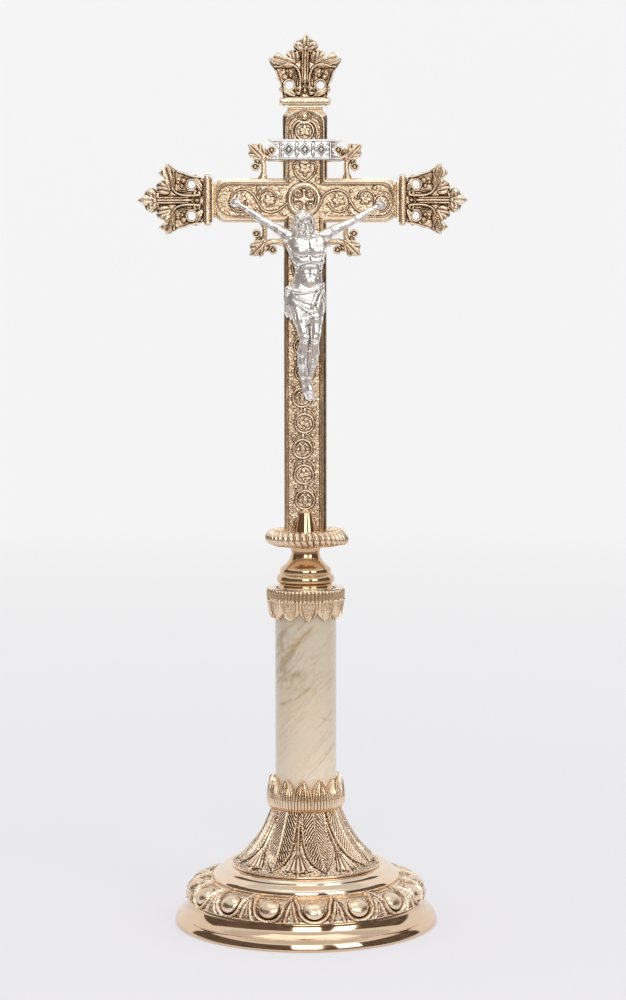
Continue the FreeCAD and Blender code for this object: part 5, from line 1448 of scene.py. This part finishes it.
def figure():
    F = Field((-39.8, -16.6, 257.8), (41.4, -2.0, 356.0 + 4.6), 0.225)

    # trunk, from measured widths
    zs = [296.0, 300.0, 303.0, 306.0, 310.0, 314.0, 317.0, 320.0, 323.5, 327.0, 331.0, 335.0, 338.5, 341.5, 343.6]
    xl = [-3.0, -5.2, -7.0, -8.2, -8.9, -8.6, -6.9, -5.4, -4.8, -5.9, -7.6, -9.4, -10.2, -8.6, -4.0]
    xr = [7.2, 8.4, 9.0, 9.2, 9.1, 8.7, 8.4, 8.2, 8.3, 8.8, 9.7, 10.6, 11.0, 9.6, 5.0]
    dp = [3.6, 3.9, 4.1, 4.2, 4.1, 3.8, 3.5, 3.3, 3.3, 3.7, 4.2, 4.3, 3.9, 3.2, 2.4]
    cy = [-8.4, -8.2, -7.9, -7.7, -7.4, -7.2, -7.1, -7.1, -7.2, -7.4, -7.5, -7.5, -7.4, -7.4, -7.6]
    s, x, y, z = F.sub((-12, -14, 297.0), (13, -2.6, 343.0), 0.0)
    zf = z.ravel()
    ip = lambda v: np.interp(zf, zs, v)[None, None, :]
    hw, cx = (ip(xr) - ip(xl)) / 2, (ip(xr) + ip(xl)) / 2
    hd, cc = ip(dp), ip(cy)
    q = (np.abs((x - cx) / hw) ** 2.3 + np.abs((y - cc) / hd) ** 2.3) ** (1 / 2.3)
    d = (q - 1) * np.minimum(hw, hd) * 0.95
    d = np.maximum(d, np.maximum(z - 343.2, 297.4 - z))
    F.join(s, d.astype(np.float32), 0.5)
    # chest, ribs, belly
    F.ball((-1.8, -10.1, 332.9), (4.3, 2.1, 3.1), 1.3)
    F.ball((6.2, -10.2, 332.9), (4.0, 2.1, 3.0), 1.3)
    F.ball((-1.1, -9.9, 328.0), (3.9, 1.7, 2.2), 1.4)
    F.ball((5.8, -10.0, 328.0), (3.6, 1.7, 2.2), 1.4)
    F.ball((0.3, -9.1, 322.2), (1.8, 1.3, 1.9), 1.0)
    F.ball((4.1, -9.1, 322.2), (1.8, 1.3, 1.9), 1.0)
    F.ball((2.0, -9.2, 318.2), (3.6, 2.2, 3.3), 0.9)
    # collar bones and shoulders
    F.chain([(-8.4, -8.6, 341.2), (-4.2, -10.4, 340.6), (0.2, -10.6, 339.6)], [1.0, 0.75, 0.6], 0.8)
    F.chain([(9.9, -8.6, 341.4), (6.0, -10.4, 340.7), (2.8, -10.6, 339.6)], [1.0, 0.75, 0.6], 0.8)
    F.ball((-8.6, -7.6, 340.3), (3.2, 2.9, 3.0), 1.0)
    F.ball((9.9, -7.6, 340.6), (3.1, 2.9, 2.9), 1.0)
    # arms
    F.chain([(-8.4, -7.4, 340.6), (-12.6, -7.3, 343.2), (-17.4, -6.8, 346.0), (-19.4, -6.5, 347.2)], [2.5, 2.35, 1.8, 1.75], 0.9)
    F.chain([(-19.0, -6.5, 347.0), (-23.2, -6.3, 349.6), (-28.4, -5.6, 353.2), (-31.2, -5.1, 355.0)], [1.8, 1.95, 1.3, 1.15], 0.8)
    F.chain([(9.8, -7.4, 340.8), (14.2, -7.3, 343.2), (19.2, -6.8, 345.6), (21.6, -6.5, 346.6)], [2.45, 2.3, 1.8, 1.7], 0.9)
    F.chain([(21.4, -6.5, 346.5), (25.6, -6.3, 348.8), (31.0, -5.6, 352.2), (34.2, -5.1, 354.0)], [1.8, 1.9, 1.3, 1.15], 0.8)
    # hands: palm, four bent fingers, thumb
    for sx, px, pz, ang in ((-1, -33.4, 356.4, 132), (1, 36.3, 355.2, 42)):
        a = math.radians(ang)
        ux, uz = math.cos(a), math.sin(a)
        vx, vz = -uz, ux
        F.ball((px, -4.9, pz), (2.3, 1.15, 1.95), 0.5)
        for i, o in enumerate((-1.35, -0.45, 0.45, 1.3)):
            L = (2.5, 3.0, 2.9, 2.4)[i]
            b = (px + ux * 1.2 + vx * o, -5.2, pz + uz * 1.2 + vz * o)
            m = (px + ux * (1.2 + L * 0.55) + vx * o * 1.15, -5.9, pz + uz * (1.2 + L * 0.55) + vz * o * 1.15)
            e = (px + ux * (1.2 + L * 0.62) + vx * o * 1.05, -6.9, pz + uz * (1.0 + L * 0.3) + vz * o * 1.05)
            F.chain([b, m, e], [0.52, 0.48, 0.4], 0.22)
        F.chain([(px - ux * 0.8 + vx * sx * -1.7, -5.3, pz - uz * 0.8 + vz * sx * -1.7),
                 (px + ux * 1.0 + vx * sx * -2.3, -5.9, pz + uz * 1.0 + vz * sx * -2.3),
                 (px + ux * 2.1 + vx * sx * -1.9, -6.2, pz + uz * 2.1 + vz * sx * -1.9)], [0.6, 0.52, 0.42], 0.25)
    # legs
    F.chain([(-4.2, -8.0, 306.5), (-2.6, -9.0, 300.0), (-0.9, -10.0, 293.6), (-0.2, -10.2, 290.6)], [4.0, 3.4, 2.7, 2.5], 0.7)
    F.chain([(5.0, -8.0, 306.5), (5.2, -9.1, 300.0), (5.1, -10.1, 293.6), (4.7, -10.3, 290.4)], [3.9, 3.3, 2.6, 2.4], 0.7)
    F.ball((0.0, -11.1, 291.2), (1.9, 1.6, 1.8), 0.7)
    F.ball((4.6, -11.2, 291.0), (1.8, 1.6, 1.8), 0.7)
    F.chain([(-0.5, -9.9, 288.8), (-1.2, -8.5, 283.5), (-1.3, -7.7, 278.5), (-0.9, -6.6, 272.6), (-0.1, -6.0, 268.2)], [2.2, 2.6, 2.45, 1.95, 1.75], 0.9)
    F.chain([(4.6, -10.0, 288.6), (4.3, -9.0, 283.5), (3.5, -8.5, 278.5), (1.9, -8.0, 272.4), (1.7, -7.8, 269.2)], [2.1, 2.45, 2.2, 1.7, 1.6], 0.9)
    F.chain([(0.3, -11.6, 288.4), (0.2, -10.6, 280.0), (0.4, -8.6, 272.0)], [0.6, 0.55, 0.4], 0.8)
    F.chain([(4.3, -11.7, 288.4), (3.6, -11.0, 280.0), (2.0, -9.7, 272.0)], [0.6, 0.55, 0.4], 0.8)
    F.chain([(2.2, -7.2, 302.0), (2.2, -8.0, 292.0), (1.6, -7.4, 282.0), (0.9, -6.4, 273.0)], [2.0, 1.9, 1.8, 1.2], 0.6)
    # feet, the right one crossed over
    F.chain([(-0.2, -5.8, 268.4), (0.4, -5.2, 264.4), (1.4, -4.6, 261.6)], [1.8, 1.9, 1.6], 0.5)
    F.chain([(1.5, -7.4, 269.0), (2.3, -7.5, 265.4), (3.1, -6.7, 262.0)], [1.65, 1.95, 1.6], 0.5)
    F.limb((2.4, -5.2, 266.0), (2.7, -3.4, 262.6), 1.3, 1.0, 0.5)
    for i in range(5):
        F.limb((1.9 + 0.62 * i, -7.1 + 0.12 * i, 262.0), (2.0 + 0.66 * i, -6.6 + 0.12 * i, 260.1 + 0.16 * i), 0.5, 0.43, 0.15)
    # drawn lines of the casting: chest, flanks, ribs, belly, arms, thighs, knees, shins
    for pts, r in (([(2.1, 337.6), (2.3, 333.0), (2.4, 328.0)], 0.36), ([(2.35, 325.4), (2.3, 322.6), (2.3, 319.6)], 0.30),
                   ([(-5.8, 331.4), (-2.6, 330.0), (0.4, 330.1), (2.1, 331.2)], 0.36), ([(9.2, 331.6), (6.6, 330.0), (4.0, 330.1), (2.5, 331.2)], 0.36),
                   ([(-4.4, 321.4), (-3.3, 324.2), (-1.2, 325.8), (2.3, 326.6), (5.8, 325.8), (7.2, 324.2), (8.0, 321.6)], 0.62),
                   ([(-8.6, 337.0), (-7.0, 334.0), (-5.7, 330.4), (-4.6, 326.6), (-4.2, 322.6)], 0.46),
                   ([(10.6, 337.4), (9.6, 334.0), (8.6, 330.2), (7.8, 326.4), (7.5, 322.8)], 0.46),
                   ([(-9.4, 338.9), (-13.3, 342.0), (-18.0, 344.9), (-23.9, 348.6), (-28.9, 352.3)], 0.34),
                   ([(10.9, 339.1), (14.9, 341.9), (19.8, 344.4), (26.2, 347.7), (31.5, 351.2)], 0.34),
                   ([(-5.0, 304.5), (-4.2, 299.4), (-2.9, 294.0), (-2.1, 290.0)], 0.40), ([(8.0, 303.5), (7.7, 298.0), (7.0, 293.6), (6.4, 290.2)], 0.34),
                   ([(2.2, 300.5), (2.3, 294.0), (2.3, 288.0), (1.9, 280.0), (1.2, 273.0)], 0.30),
                   ([(-1.9, 289.2), (-0.2, 288.5), (1.8, 289.1)], 0.34), ([(2.9, 289.1), (4.6, 288.4), (6.4, 289.2)], 0.34),
                   ([(-2.5, 286.6), (-2.9, 282.4), (-2.4, 276.6), (-1.5, 271.8)], 0.28), ([(5.5, 286.2), (5.3, 281.0), (4.2, 276.0), (2.9, 271.8)], 0.22)):
        F.line(pts, r)
    for i, zz in enumerate((328.2, 325.8, 323.4)):
        F.line([(-6.4 + 0.4 * i, zz + 1.2), (-5.2 + 0.4 * i, zz), (-3.7 + 0.3 * i, zz - 0.8)], 0.26)
        F.line([(9.1 - 0.3 * i, zz + 1.2), (8.2 - 0.3 * i, zz), (6.9 - 0.2 * i, zz - 0.8)], 0.26)
    # cloth: belt roll, drapes, side knot with a hanging end
    F.chain([(-7.6, -7.6, 314.4), (-5.4, -10.4, 313.4), (-1.6, -11.7, 313.0), (2.6, -12.0, 313.6), (6.4, -10.9, 315.2), (8.6, -8.4, 316.8)],
            [1.25, 1.15, 1.1, 1.05, 1.05, 1.0], 0.35)
    F.chain([(-7.2, -8.4, 312.6), (-4.4, -11.0, 310.6), (0.2, -12.2, 308.4), (4.2, -12.0, 307.6), (8.0, -9.6, 308.6)], [0.9, 0.85, 0.8, 0.8, 0.8], 0.3)
    F.chain([(-7.4, -8.4, 310.8), (-4.6, -11.3, 307.8), (-0.4, -12.5, 304.8), (3.6, -12.3, 303.4), (8.0, -9.8, 304.4)], [0.85, 0.85, 0.8, 0.8, 0.75], 0.3)
    F.chain([(7.6, -9.4, 314.6), (5.2, -11.6, 311.2), (3.6, -12.4, 307.2), (3.0, -12.4, 303.2)], [0.8, 0.9, 0.85, 0.7], 0.3)
    F.chain([(8.6, -8.8, 313.4), (6.9, -11.0, 309.8), (6.0, -11.8, 305.8), (6.2, -11.2, 301.8)], [0.7, 0.85, 0.8, 0.6], 0.3)
    F.chain([(-4.8, -9.9, 303.2), (-2.0, -11.8, 301.6), (1.0, -12.2, 302.4), (2.2, -11.6, 303.4)], [0.75, 0.7, 0.65, 0.5], 0.3)
    F.chain([(3.2, -11.9, 302.0), (5.6, -11.9, 301.0), (8.2, -9.8, 301.8)], [0.55, 0.65, 0.65], 0.3)
    F.ball((-7.9, -8.6, 314.6), (1.9, 1.9, 1.7), 0.35)
    F.ball((-8.6, -8.4, 312.4), (1.4, 1.5, 1.6), 0.3)
    F.chain([(-8.0, -8.2, 313.0), (-9.0, -7.4, 308.4), (-9.3, -6.4, 303.6), (-8.7, -5.8, 301.2)], [1.0, 1.15, 1.05, 0.7], 0.3)
    F.chain([(-7.2, -8.2, 312.6), (-7.6, -7.8, 307.6), (-7.5, -7.0, 303.0), (-6.9, -6.4, 300.2)], [0.9, 1.1, 1.0, 0.7], 0.3)
    F.chain([(-8.5, -8.8, 311.4), (-8.5, -8.7, 306.6), (-8.4, -7.6, 301.6)], [0.5, 0.55, 0.4], 0.25)
    F.chain([(8.4, -8.2, 316.2), (9.0, -7.4, 310.0), (8.9, -6.8, 303.8)], [0.9, 1.05, 0.8], 0.3)

    # head in its own frame: u to the viewer's right, v forwards, w up; leaning right and bowed
    roll, nod, yaw = math.radians(10.0), math.radians(16.0), math.radians(18.0)
    e1 = np.array([math.cos(roll), 0, -math.sin(roll)])
    up0 = np.array([math.sin(roll), 0, math.cos(roll)])
    fw0 = np.array([0.0, -1.0, 0.0])
    up0[0] *= -1
    e1[2] *= -1
    e3 = up0 * math.cos(nod) + fw0 * math.sin(nod)
    e2 = fw0 * math.cos(nod) - up0 * math.sin(nod)
    e1, e2 = e1 * math.cos(yaw) - e2 * math.sin(yaw), e2 * math.cos(yaw) + e1 * math.sin(yaw)
    R = np.stack([e1, e2, e3], axis=1)
    C = np.array([-0.7, -9.6, 346.4])
    k = 1.06
    L = lambda u, v, w: tuple(C + k * (e1 * u + e2 * v + e3 * w))
    F.chain([(1.2, -7.6, 340.6), L(0, -0.8, -4.0)], [2.7, 2.2], 1.0)
    B = lambda c, r, kk=0.4, cut=False: F.ball(L(*c), np.array(r) * k, kk, rot=R, cut=cut)
    T = lambda pts, rr, kk=0.3, cut=False: F.chain([L(*p) for p in pts], [q_ * k for q_ in rr], kk, cut=cut)
    B((0, -0.9, 1.9), (3.8, 4.3, 4.2), 0.5)
    B((0, 0.8, -1.2), (3.15, 3.2, 4.4), 0.6)
    B((0, 1.8, -4.4), (1.7, 1.8, 1.4), 0.6)
    T([(-2.2, 3.0, 1.25), (-1.1, 3.7, 1.35), (0, 3.75, 1.15), (1.1, 3.7, 1.35), (2.2, 3.0, 1.25)], [0.4, 0.45, 0.4, 0.45, 0.4], 0.5)
    for sx in (-1, 1):
        B((sx * 1.45, 4.35, 0.25), (0.95, 0.85, 0.6), 0.45, cut=True)
        B((sx * 1.45, 3.15, 0.2), (0.82, 0.55, 0.5), 0.18)
        B((sx * 2.0, 2.75, -1.3), (1.0, 0.95, 1.15), 0.6)
        B((sx * 0.5, 4.05, -1.95), (0.38, 0.45, 0.34), 0.2)
        T([(sx * 0.25, 4.15, -2.75), (sx * 1.0, 3.95, -3.0), (sx * 1.75, 3.3, -3.9), (sx * 1.9, 2.9, -4.6)], [0.42, 0.45, 0.42, 0.4], 0.2)
        T([(sx * 2.9, 1.6, -1.8), (sx * 2.75, 1.8, -3.6), (sx * 2.0, 2.5, -5.3)], [0.75, 0.95, 1.0], 0.4)
    T([(0, 3.75, 1.0), (0, 4.35, -0.6), (0, 4.85, -1.75)], [0.34, 0.42, 0.55], 0.35)
    T([(-0.75, 3.9, -3.42), (0, 4.1, -3.32), (0.75, 3.9, -3.42)], [0.24, 0.3, 0.24], 0.12)
    T([(-0.6, 3.85, -3.98), (0.6, 3.85, -3.98)], [0.3, 0.3], 0.12)
    B((0, 2.6, -5.6), (2.15, 2.0, 1.9), 0.5)
    T([(-0.75, 3.2, -5.8), (-0.6, 3.1, -7.6)], [1.0, 0.45], 0.4)
    T([(0.75, 3.2, -5.8), (0.6, 3.1, -7.6)], [1.0, 0.45], 0.4)
    for i in range(5):
        a = -1.5 + 0.75 * i
        T([(a, 4.35 - 0.3 * abs(a), -4.9), (a * 0.75, 4.2 - 0.3 * abs(a), -6.6)], [0.2, 0.16], 0.15, cut=True)
    # hair: cap with strands off a middle parting, long locks on both sides
    for sx in (-1, 1):
        for i in range(6):
            f = i / 5
            T([(sx * 0.25, 3.2 - 4.6 * f, 4.6 + 1.4 * math.sin(math.pi * f)), (sx * (2.5 + 0.5 * math.sin(math.pi * f)), 2.7 - 4.3 * f, 4.0 + 0.4 * math.sin(math.pi * f)),
               (sx * (3.9 + 0.3 * math.sin(math.pi * f)), 1.9 - 3.9 * f, 2.2)], [0.65, 0.75, 0.75], 0.22)
        for i in range(4):
            v0 = 1.9 - 1.15 * i
            lift = 0.9 if sx < 0 else 0.0
            T([(sx * 3.8, v0, 2.6), (sx * (4.35 + 0.15 * i), v0 - 0.4, 0.2), (sx * (4.1 + 0.4 * i), v0 - 0.4, -2.4),
               (sx * (4.3 + 0.5 * i + lift), v0 - 0.7 + 0.3 * (i % 2), -4.8), (sx * (4.6 + 0.4 * i + lift), v0 - 0.9, -6.8 - lift)],
              [0.75, 0.95, 0.95, 0.88, 0.5], 0.2)
    T([(-3.2, -1.6, 1.0), (-3.0, -3.4, -3.0), (-2.6, -3.0, -6.0)], [2.0, 2.2, 1.4], 0.5)
    T([(3.2, -1.6, 1.0), (3.0, -3.4, -3.0), (2.6, -3.0, -6.0)], [2.0, 2.2, 1.4], 0.5)
    # plaited band round the brow
    for strand in (0, 1):
        pts = []
        for i in range(61):
            a = 2 * math.pi * i / 60
            o = 0.42 * math.sin(9 * a + math.pi * strand)
            h = 0.42 * math.cos(9 * a + math.pi * strand)
            pts.append((math.sin(a) * (4.35 + o), math.cos(a) * (4.45 + o) - 0.7, 3.15 + h + 0.35 * math.cos(a)))
        T(pts, [0.46] * 61, 0.12)

    # the casting is flat where it lies against the cross
    s, x, y, z = F.sub((-45, -20, 250), (45, 0, 370))
    F.f[s] = np.maximum(F.f[s], (y + 2.75) + 0 * x + 0 * z)
    P, q = F.net()
    build("corpus_vis", P, q, mat=M_SILVER, node="corpus", slot="silver_plate", cav_iters=7)


def domed_pin(name, spots, head_r, head_h, shank_r, back, node, mat):
    """Round-headed pins along Y: spots are (x, z, y of the seat)."""
    V, Q, base = [], [], 0
    prof = [(0.0, -head_h), (0.35 * head_r, -head_h * 0.95), (0.68 * head_r, -head_h * 0.72), (0.92 * head_r, -head_h * 0.34), (head_r, -0.02),
            (head_r * 0.98, 0.12), (shank_r, 0.14)]
    n = 28
    th = np.linspace(0, 2 * math.pi, n, endpoint=False)
    for (cx, cz, seat) in spots:
        rows = prof[1:] + [(shank_r, back - seat), (0.3, back - seat + 0.05)]
        v = [(cx + r * math.cos(t), seat + y, cz + r * math.sin(t)) for r, y in rows for t in th]
        v += [(cx, seat + prof[0][1], cz), (cx, back + 0.08, cz)]
        m = len(rows)
        for j in range(m - 1):
            for i in range(n):
                a, b = j * n + i, j * n + (i + 1) % n
                Q.append([base + a, base + b, base + b + n, base + a + n])
        V += v
        top, bot = base + m * n, base + m * n + 1
        for i in range(n):
            Q.append([top, base + (i + 1) % n, base + i])
            a = base + (m - 1) * n
            Q.append([bot, a + i, a + (i + 1) % n])
        base += len(v)
    quads = [f for f in Q if len(f) == 4]
    tris = [f for f in Q if len(f) == 3]
    build(name, np.array(V), np.array(quads)[:, ::-1], np.array(tris)[:, ::-1], mat=mat, node=node, slot="silver_plate", sharp=60)


figure()
domed_pin("corpus_pins", [(-34.0, 357.0, -6.0), (36.6, 355.6, -6.0), (2.9, 263.6, -8.5)], 0.95, 0.6, 0.6, -1.0, "corpus_rivets", M_SILVER)


# ------------------------------------------------------------------ ribbon plate above the figure
def titulus():
    right = [(12.2, 387.2), (15.2, 387.1), (18.3, 386.9), (17.0, 385.9), (15.2, 384.3), (13.2, 382.3), (15.4, 380.2), (18.3, 377.2),
             (18.0, 376.5), (15.2, 376.7), (12.2, 377.0)]
    left = [(-12.2, 377.0), (-15.2, 376.7), (-18.0, 376.5), (-18.2, 377.3), (-15.0, 380.2), (-12.7, 382.2), (-14.8, 384.3), (-16.8, 386.0),
            (-18.0, 386.9), (-15.2, 387.1), (-12.2, 387.2)]
    P = np.array(right + left)

    def bow(x):
        # the plate is gently bowed, the tails turn back and then curl forwards at the tips
        a = np.abs(x)
        return 0.35 * (a / 12.2) ** 2 * (a <= 12.2) + np.where(a > 12.2, 0.35 - 0.75 * np.sin((a - 12.2) / 6.2 * math.pi), 0)

    def front(x, z, d):
        r = Relief(x, z)
        r.cord([(-16.9, 386.25), (-12.0, 386.4), (0, 386.4), (12.0, 386.4), (17.2, 386.25)], 0.33, 0.5, smooth=False)
        r.cord([(-17.4, 377.75), (-12.0, 377.9), (0, 377.9), (12.0, 377.9), (17.6, 377.75)], 0.33, 0.5, smooth=False)
        r.cord([(-12.1, 378.0), (-12.1, 386.4)], 0.42, 0.62)
        r.cord([(12.3, 378.0), (12.3, 386.4)], 0.42, 0.62)
        # plain ornament: lozenges with a boss, parted by leaf sprigs and beads
        for cx in (-7.9, 0.0, 7.9):
            q = np.abs(x - cx) / 3.0 + np.abs(z - 382.25) / 3.45
            r.h = np.maximum(r.h, np.where(q < 1, 0.85 * np.clip((1 - q) / 0.30, 0, 1) ** 0.7, 0))
            r.h = np.where(q < 0.60, np.maximum(0.10, 0.7 * np.sqrt(np.clip(1 - (q / 0.38) ** 2, 0, 1))), r.h)
        for cx in (-3.95, 3.95):
            r.lobe(cx, 382.3, 90, 3.4, 1.0, 0.8, 0.3).lobe(cx, 382.2, 270, 3.4, 1.0, 0.8, 0.3)
            r.bead(cx - 1.3, 382.25, 0.55, 0.6).bead(cx + 1.3, 382.25, 0.55, 0.6)
        for cx in (-11.0, 11.1):
            r.bead(cx, 384.7, 0.62, 0.6).bead(cx, 382.25, 0.62, 0.6).bead(cx, 379.8, 0.62, 0.6)
        for sx in (-1, 1):
            r.cord([(sx * 13.4, 384.9), (sx * 15.3, 385.4), (sx * 16.9, 386.2)], 0.3, 0.4)
            r.cord([(sx * 13.4, 379.6), (sx * 15.3, 379.1), (sx * 17.0, 378.3)], 0.3, 0.4)
        h = r.h * ss(0.0, 0.35, d)
        return -(4.75 - bow(x)) - h + 0.02 * noise2(x * 2.4, z * 2.4, 3) + 0.12 * (1 - ss(0, 0.4, d))

    plate("titulus_vis", lambda x, z: poly_sdf(P, x, z), (-18.9, 18.9, 376.0, 388.3), 0.19, front,
          lambda x, z, d: -(4.05 - bow(x)), wall=2, mat=M_SILVER, node="titulus_scroll", slot="silver_plate", sharp=60, cav_iters=5)


titulus()
domed_pin("titulus_pins", [(-7.9, 382.25, -5.25), (7.9, 382.25, -5.25)], 0.75, 0.5, 0.5, -2.0, "titulus_rivets", M_SILVER)


# ------------------------------------------------------------------ looks of the parts kept from the solid model
def dress():
    want = {"lower_column_gasket": M_RUBBER, "upper_column_gasket": M_RUBBER, "tie_rod": M_STEEL, "clamp_plate": M_STEEL,
            "lock_washer": M_STEEL, "rod_nut": M_STEEL, "finial_studs": M_STEEL}
    for node, mat in want.items():
        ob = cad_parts.get(node)
        if ob is None or ob.type != "MESH":
            continue
        ob.data.materials.clear()
        ob.data.materials.append(mat)


dress()


# ------------------------------------------------------------------ camera and stage
ROLL = -0.07


def stage():
    sc = bpy.context.scene
    cam = bpy.data.cameras.new("cam")
    ob = bpy.data.objects.new("cam", cam)
    sc.collection.objects.link(ob)
    cam.sensor_fit = "AUTO"
    cam.sensor_width = 36.0
    cam.lens = 2603.0 / 1000.0 * 36.0
    cam.clip_start, cam.clip_end = 0.05, 50.0
    d, zc, p = 1.280, 0.316, math.radians(4.7)
    yaw = math.atan((313.0 - 305.5) / 2603.0)
    ob.location = (0.0, -d, zc)
    import mathutils
    turn = mathutils.Euler((math.pi / 2 - p, 0.0, -yaw)).to_matrix() @ mathutils.Matrix.Rotation(math.radians(ROLL), 3, "Z")
    ob.rotation_euler = turn.to_euler()
    sc.camera = ob

    # a round sweep: floor turning up into a wall on every side
    prof = [(0.0, 0.0), (0.25, 0.0), (0.6, 0.0), (1.2, 0.0), (2.0, 0.0)]
    prof += [(2.0 + 0.8 * math.sin(a), 0.8 - 0.8 * math.cos(a)) for a in np.linspace(0.1, math.pi / 2, 14)]
    prof += [(2.8, 2.2), (2.8, 3.2)]
    P = np.array(prof)
    n = 96
    th = np.linspace(0, 2 * math.pi, n, endpoint=False)
    V = np.stack([P[None, :, 0] * np.sin(th)[:, None], -P[None, :, 0] * np.cos(th)[:, None],
                  np.repeat(P[None, :, 1], n, 0)], axis=2).reshape(-1, 3)
    me = bpy.data.meshes.new("sweep")
    me.from_pydata(V.tolist(), [], grid_faces(n, len(P), wrap_u=True, flip=True).tolist())
    me.polygons.foreach_set("use_smooth", [True] * len(me.polygons))
    sw = bpy.data.objects.new("sweep", me)
    sc.collection.objects.link(sw)
    t = NT("sweep_white")
    tc = t.n("ShaderNodeTexCoord").outputs["Object"]
    sep = t.n("ShaderNodeSeparateXYZ")
    t.l(tc, sep.inputs[0])
    rr = t.math("SQRT", t.math("ADD", t.math("MULTIPLY", sep.outputs[0], sep.outputs[0]), t.math("MULTIPLY", sep.outputs[1], sep.outputs[1])))
    # the glow is darker on the floor near the object and lighter towards the wall: painted shade round the object
    zz = t.mapr(rr, 0.25, 2.1, 0.0, 1.0)
    soft = t.noise(tc, 0.7, 2, 0.4)
    dcol = t.mixc(t.mapr(soft, 0.3, 0.7, 0.0, 1.0), (0.80, 0.80, 0.805), (0.83, 0.83, 0.83))
    diff = t.n("ShaderNodeBsdfDiffuse")
    t.l(dcol, diff.inputs["Color"])
    em = t.n("ShaderNodeEmission")
    t.l(t.mixc(zz, (0.815, 0.800, 0.830), (0.968, 0.965, 0.965)), em.inputs["Color"])
    em.inputs["Strength"].default_value = 1.0
    mx = t.n("ShaderNodeMixShader")
    mx.inputs[0].default_value = 0.72
    t.l(diff.outputs[0], mx.inputs[1])
    t.l(em.outputs[0], mx.inputs[2])
    out = t.n("ShaderNodeOutputMaterial")
    t.l(mx.outputs[0], out.inputs[0])
    me.materials.append(t.mat)

    w = bpy.data.worlds.new("studio")
    sc.world = w
    w.use_nodes = True
    bg = w.node_tree.nodes.get("Background")
    bg.inputs[0].default_value = (0.92, 0.93, 0.95, 1)
    bg.inputs[1].default_value = 0.75

    def lamp(name, loc, aim, sx, sy, power, col=(1, 1, 1), spec=1.0):
        la = bpy.data.lights.new(name, "AREA")
        la.shape = "RECTANGLE"
        la.size, la.size_y = sx, sy
        la.energy = power
        la.color = col
        lo = bpy.data.objects.new(name, la)
        sc.collection.objects.link(lo)
        lo.location = loc
        v = np.array(aim, float) - np.array(loc, float)
        lo.rotation_euler = mathutils.Vector(v).to_track_quat("-Z", "Y").to_euler()
        return lo

    # two broad windows in front, one behind the camera and one to the right, and a soft top
    lamp("window_a", (0.03, -2.0, 0.92), (0, 0, 0.36), 0.95, 1.16, 9.8, (1.0, 0.985, 0.96))
    lamp("window_b", (1.23, -1.58, 0.92), (0, 0, 0.36), 0.80, 1.16, 8.0, (1.0, 0.985, 0.96))
    lamp("top_soft", (0.0, -0.1, 1.95), (0, 0, 0.2), 1.6, 1.4, 6.0)

    # dark front half of the room: seen only by glossy rays
    def card(name, r, a0, a1, z0, z1, colour):
        n = 24
        A = np.linspace(math.radians(a0), math.radians(a1), n)
        V = []
        for a in A:
            V.append((r * math.sin(a), -r * math.cos(a), z0))
            V.append((r * math.sin(a), -r * math.cos(a), z1))
        F = [(2 * i, 2 * i + 2, 2 * i + 3, 2 * i + 1) for i in range(n - 1)]
        m = bpy.data.meshes.new(name)
        m.from_pydata(V, [], F)
        o = bpy.data.objects.new(name, m)
        sc.collection.objects.link(o)
        tt = NT(name)
        tc = tt.n("ShaderNodeTexCoord").outputs["Object"]
        nn = tt.noise(tc, 2.2, 3, 0.6)
        c = tt.ramp(nn, [(0.35, tuple(v * 0.55 for v in colour)), (0.65, colour)])
        e = tt.n("ShaderNodeEmission")
        tt.l(c, e.inputs["Color"])
        e.inputs["Strength"].default_value = 1.0
        oo = tt.n("ShaderNodeOutputMaterial")
        tt.l(e.outputs[0], oo.inputs[0])
        m.materials.append(tt.mat)
        o.visible_camera = False
        o.visible_diffuse = False
        o.visible_shadow = False
        o.visible_transmission = False
        return o

    def floor_card(name, r0, r1, a0, a1, colour):
        n = 24
        A = np.linspace(math.radians(a0), math.radians(a1), n)
        V = [(r * math.sin(a), -r * math.cos(a), 0.004) for a in A for r in (r0, r1)]
        F = [(2 * i, 2 * i + 1, 2 * i + 3, 2 * i + 2) for i in range(n - 1)]
        m = bpy.data.meshes.new(name)
        m.from_pydata(V, [], F)
        o = bpy.data.objects.new(name, m)
        sc.collection.objects.link(o)
        tt = NT(name)
        tc = tt.n("ShaderNodeTexCoord").outputs["Object"]
        c = tt.ramp(tt.noise(tc, 1.6, 2, 0.5), [(0.35, tuple(v * 0.7 for v in colour)), (0.65, colour)])
        e = tt.n("ShaderNodeEmission")
        tt.l(c, e.inputs["Color"])
        oo = tt.n("ShaderNodeOutputMaterial")
        tt.l(e.outputs[0], oo.inputs[0])
        m.materials.append(tt.mat)
        o.visible_camera = False
        o.visible_diffuse = False
        o.visible_shadow = False
        o.visible_transmission = False
        return o
    card("dark_front", 2.2, -114, 114, 0.02, 1.6, (0.17, 0.13, 0.105))
    # dark floor card, seen only by glossy rays: a painted reflection of a dark floor in front
    floor_card("dark_floor", 0.48, 2.2, -114, 114, (0.42, 0.35, 0.30))
    sc.view_settings.view_transform = "Standard"
    sc.view_settings.look = "None"
    sc.view_settings.exposure = 0.0


stage()
